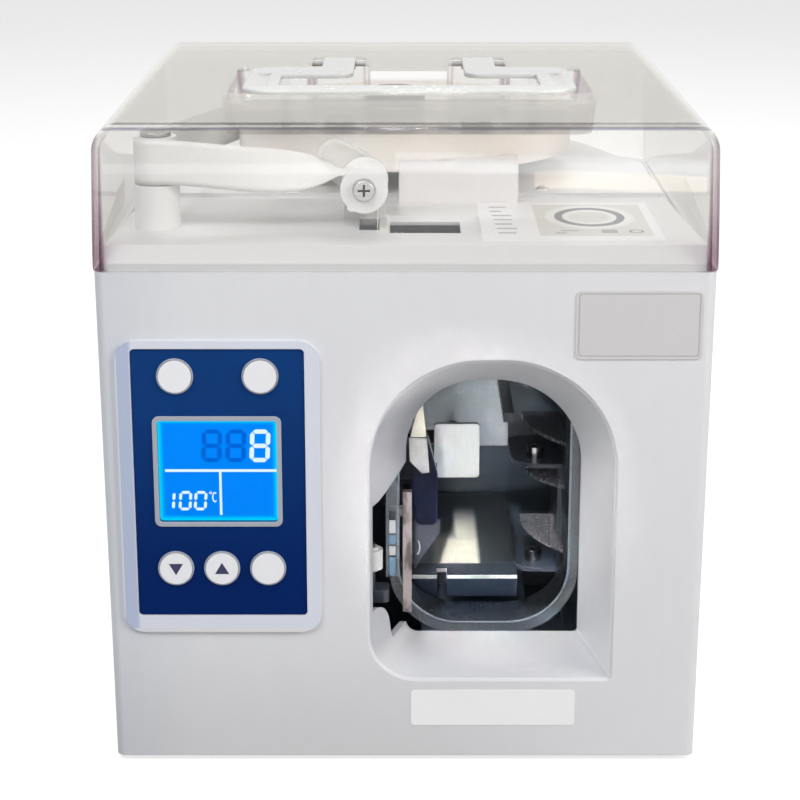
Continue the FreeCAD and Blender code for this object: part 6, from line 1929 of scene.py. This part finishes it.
@dataclass(frozen=True)
class Lamp:
    """A soft rectangular lamp: lengths in metres, power in watts, spread in degrees."""

    name: str
    place: Place
    width: float
    height: float
    power: float
    colour: Colour
    aim: Place = (0.0, 0.0, 0.15)
    spread: float = 180.0


@dataclass
class Studio:
    """Pale floor, soft lamps, white surroundings and the camera; lengths in metres."""

    camera_place: Place = (-0.0024, -1.029, 0.439)
    camera_pitch: float = 16.65
    lens_pixels: float = 2098.0
    image_side: float = 800.0
    sensor: float = 36.0
    floor_side: float = 8.0
    floor_grey: Colour = (0.50, 0.50, 0.50)
    floor_glow: float = 0.72
    sky: float = 0.12
    lamps: tuple[Lamp, ...] = (
        Lamp("key_lamp", (-0.62, -1.05, 1.55), 1.2, 1.0, 21.0, (0.98, 0.988, 1.0)),
        Lamp("fill_lamp", (1.4, -0.9, 0.9), 0.9, 0.9, 19.0, (1.0, 0.96, 0.93)),
        Lamp("front_lamp", (0.05, -1.35, 0.52), 0.5, 0.4, 1.0, (1.0, 0.99, 0.98)),
        Lamp("back_lamp", (0.2, 1.3, 1.8), 1.4, 0.8, 17.0, (1.0, 0.99, 0.98)),
        Lamp("bay_lamp", (-0.10, -1.35, 1.0), 0.05, 0.04, 0.048, (1.0, 0.985, 0.95),
             (0.034, -0.145, 0.128), 4.0),
        Lamp("bay_deep_lamp", (-0.06, -1.35, 0.33), 0.05, 0.04, 0.008, (0.95, 0.98, 1.0),
             (0.032, -0.145, 0.13), 4.0),
        Lamp("reel_lamp", (0.0, -1.25, 0.95), 0.20, 0.02, 0.018, (1.0, 0.98, 0.96),
             (0.0, -0.035, 0.268), 3.0),
        Lamp("thin_strip", (0.0, -1.30, 0.066), 1.5, 0.010, 0.05, (0.93, 0.96, 1.0)),
        Lamp("broad_strip", (0.20, -1.30, 0.068), 0.42, 0.018, 0.03, (0.82, 0.91, 1.0)),
        Lamp("warm_strip", (0.23, -1.30, 0.052), 0.20, 0.016, 0.03, (1.0, 0.86, 0.66)),
    )

    def build(self) -> None:
        """Make the camera, the world, the lamps and the floor."""
        self.add_camera()
        self.add_world()
        for lamp in self.lamps:
            self.add_lamp(lamp)
        self.add_floor()

    def add_camera(self) -> None:
        """Set the camera at the photograph's angle."""
        data = bpy.data.cameras.new("camera")
        data.sensor_width = self.sensor
        data.lens = self.lens_pixels * data.sensor_width / self.image_side
        camera = bpy.data.objects.new("camera", data)
        camera.location = self.camera_place
        camera.rotation_euler = (math.radians(90 - self.camera_pitch), 0, 0)
        bpy.context.scene.collection.objects.link(camera)
        bpy.context.scene.camera = camera

    def seen(self, graph: Graph) -> Socket:
        """1 for rays that see the background: straight, mirrored or passed through glass.

        Args:
            graph: The graph.

        Returns:
            The share, 0 or 1.
        """
        kinds = ("Is Camera Ray", "Is Glossy Ray", "Is Transmission Ray")
        straight, mirrored, passed = (graph.node("ShaderNodeLightPath", {}, {}, kind) for kind in kinds)
        return straight.most(mirrored).most(passed)

    def add_world(self) -> None:
        """Surround the object with white that lights it softly."""
        world = bpy.data.worlds.new("studio")
        bpy.context.scene.world = world
        world.use_nodes = True
        graph = Graph(world.node_tree)
        strength = self.sky + self.seen(graph) * (1.0 - self.sky)
        shader = graph.node("ShaderNodeBackground", {}, {"Color": (*WHITE, 1.0), "Strength": strength})
        graph.end("ShaderNodeOutputWorld", shader)

    def add_lamp(self, lamp: Lamp) -> None:
        """Add a lamp.

        Args:
            lamp: The lamp's settings.
        """
        data = bpy.data.lights.new(lamp.name, "AREA")
        data.shape = "RECTANGLE"
        data.size = lamp.width
        data.size_y = lamp.height
        data.energy = lamp.power
        data.color = lamp.colour
        data.spread = math.radians(lamp.spread)
        made = bpy.data.objects.new(lamp.name, data)
        made.location = lamp.place
        made.rotation_euler = (Vector(lamp.aim) - Vector(lamp.place)).to_track_quat("-Z", "Y").to_euler()
        made.visible_camera = False
        bpy.context.scene.collection.objects.link(made)

    def add_floor(self) -> None:
        """Lay the pale floor, which keeps the object's shadow."""
        mesh = bmesh.new()
        half = self.floor_side / 2
        mesh.faces.new([mesh.verts.new((x, y, 0)) for x, y in rectangle(-half, half, -half, half)])
        data = bpy.data.meshes.new("floor")
        mesh.to_mesh(data)
        mesh.free()
        material = bpy.data.materials.new("studio_floor")
        material.use_nodes = True
        graph = Graph(material.node_tree)
        matt = graph.node("ShaderNodeBsdfDiffuse", {}, {0: (*self.floor_grey, 1.0)})
        glow = {0: (*WHITE, 1.0), 1: self.seen(graph) * self.floor_glow}
        white = graph.node("ShaderNodeEmission", {}, glow)
        graph.end("ShaderNodeOutputMaterial", graph.node("ShaderNodeAddShader", {}, {0: matt, 1: white}))
        data.materials.append(material)
        floor = bpy.data.objects.new("floor", data)
        bpy.context.scene.collection.objects.link(floor)


def main() -> None:
    """Build the studio and each sub-assembly."""
    logging.basicConfig(level=logging.INFO, format="%(message)s")
    bpy.context.scene.view_settings.view_transform = "Standard"
    shop = Workshop()
    Studio().build()
    for assembly in (Housing, Display, ControlPanel, Labels, TapePath, StrappingBay, DustCover, Rear):
        assembly(shop).build()


if __name__ == "__main__":
    main()
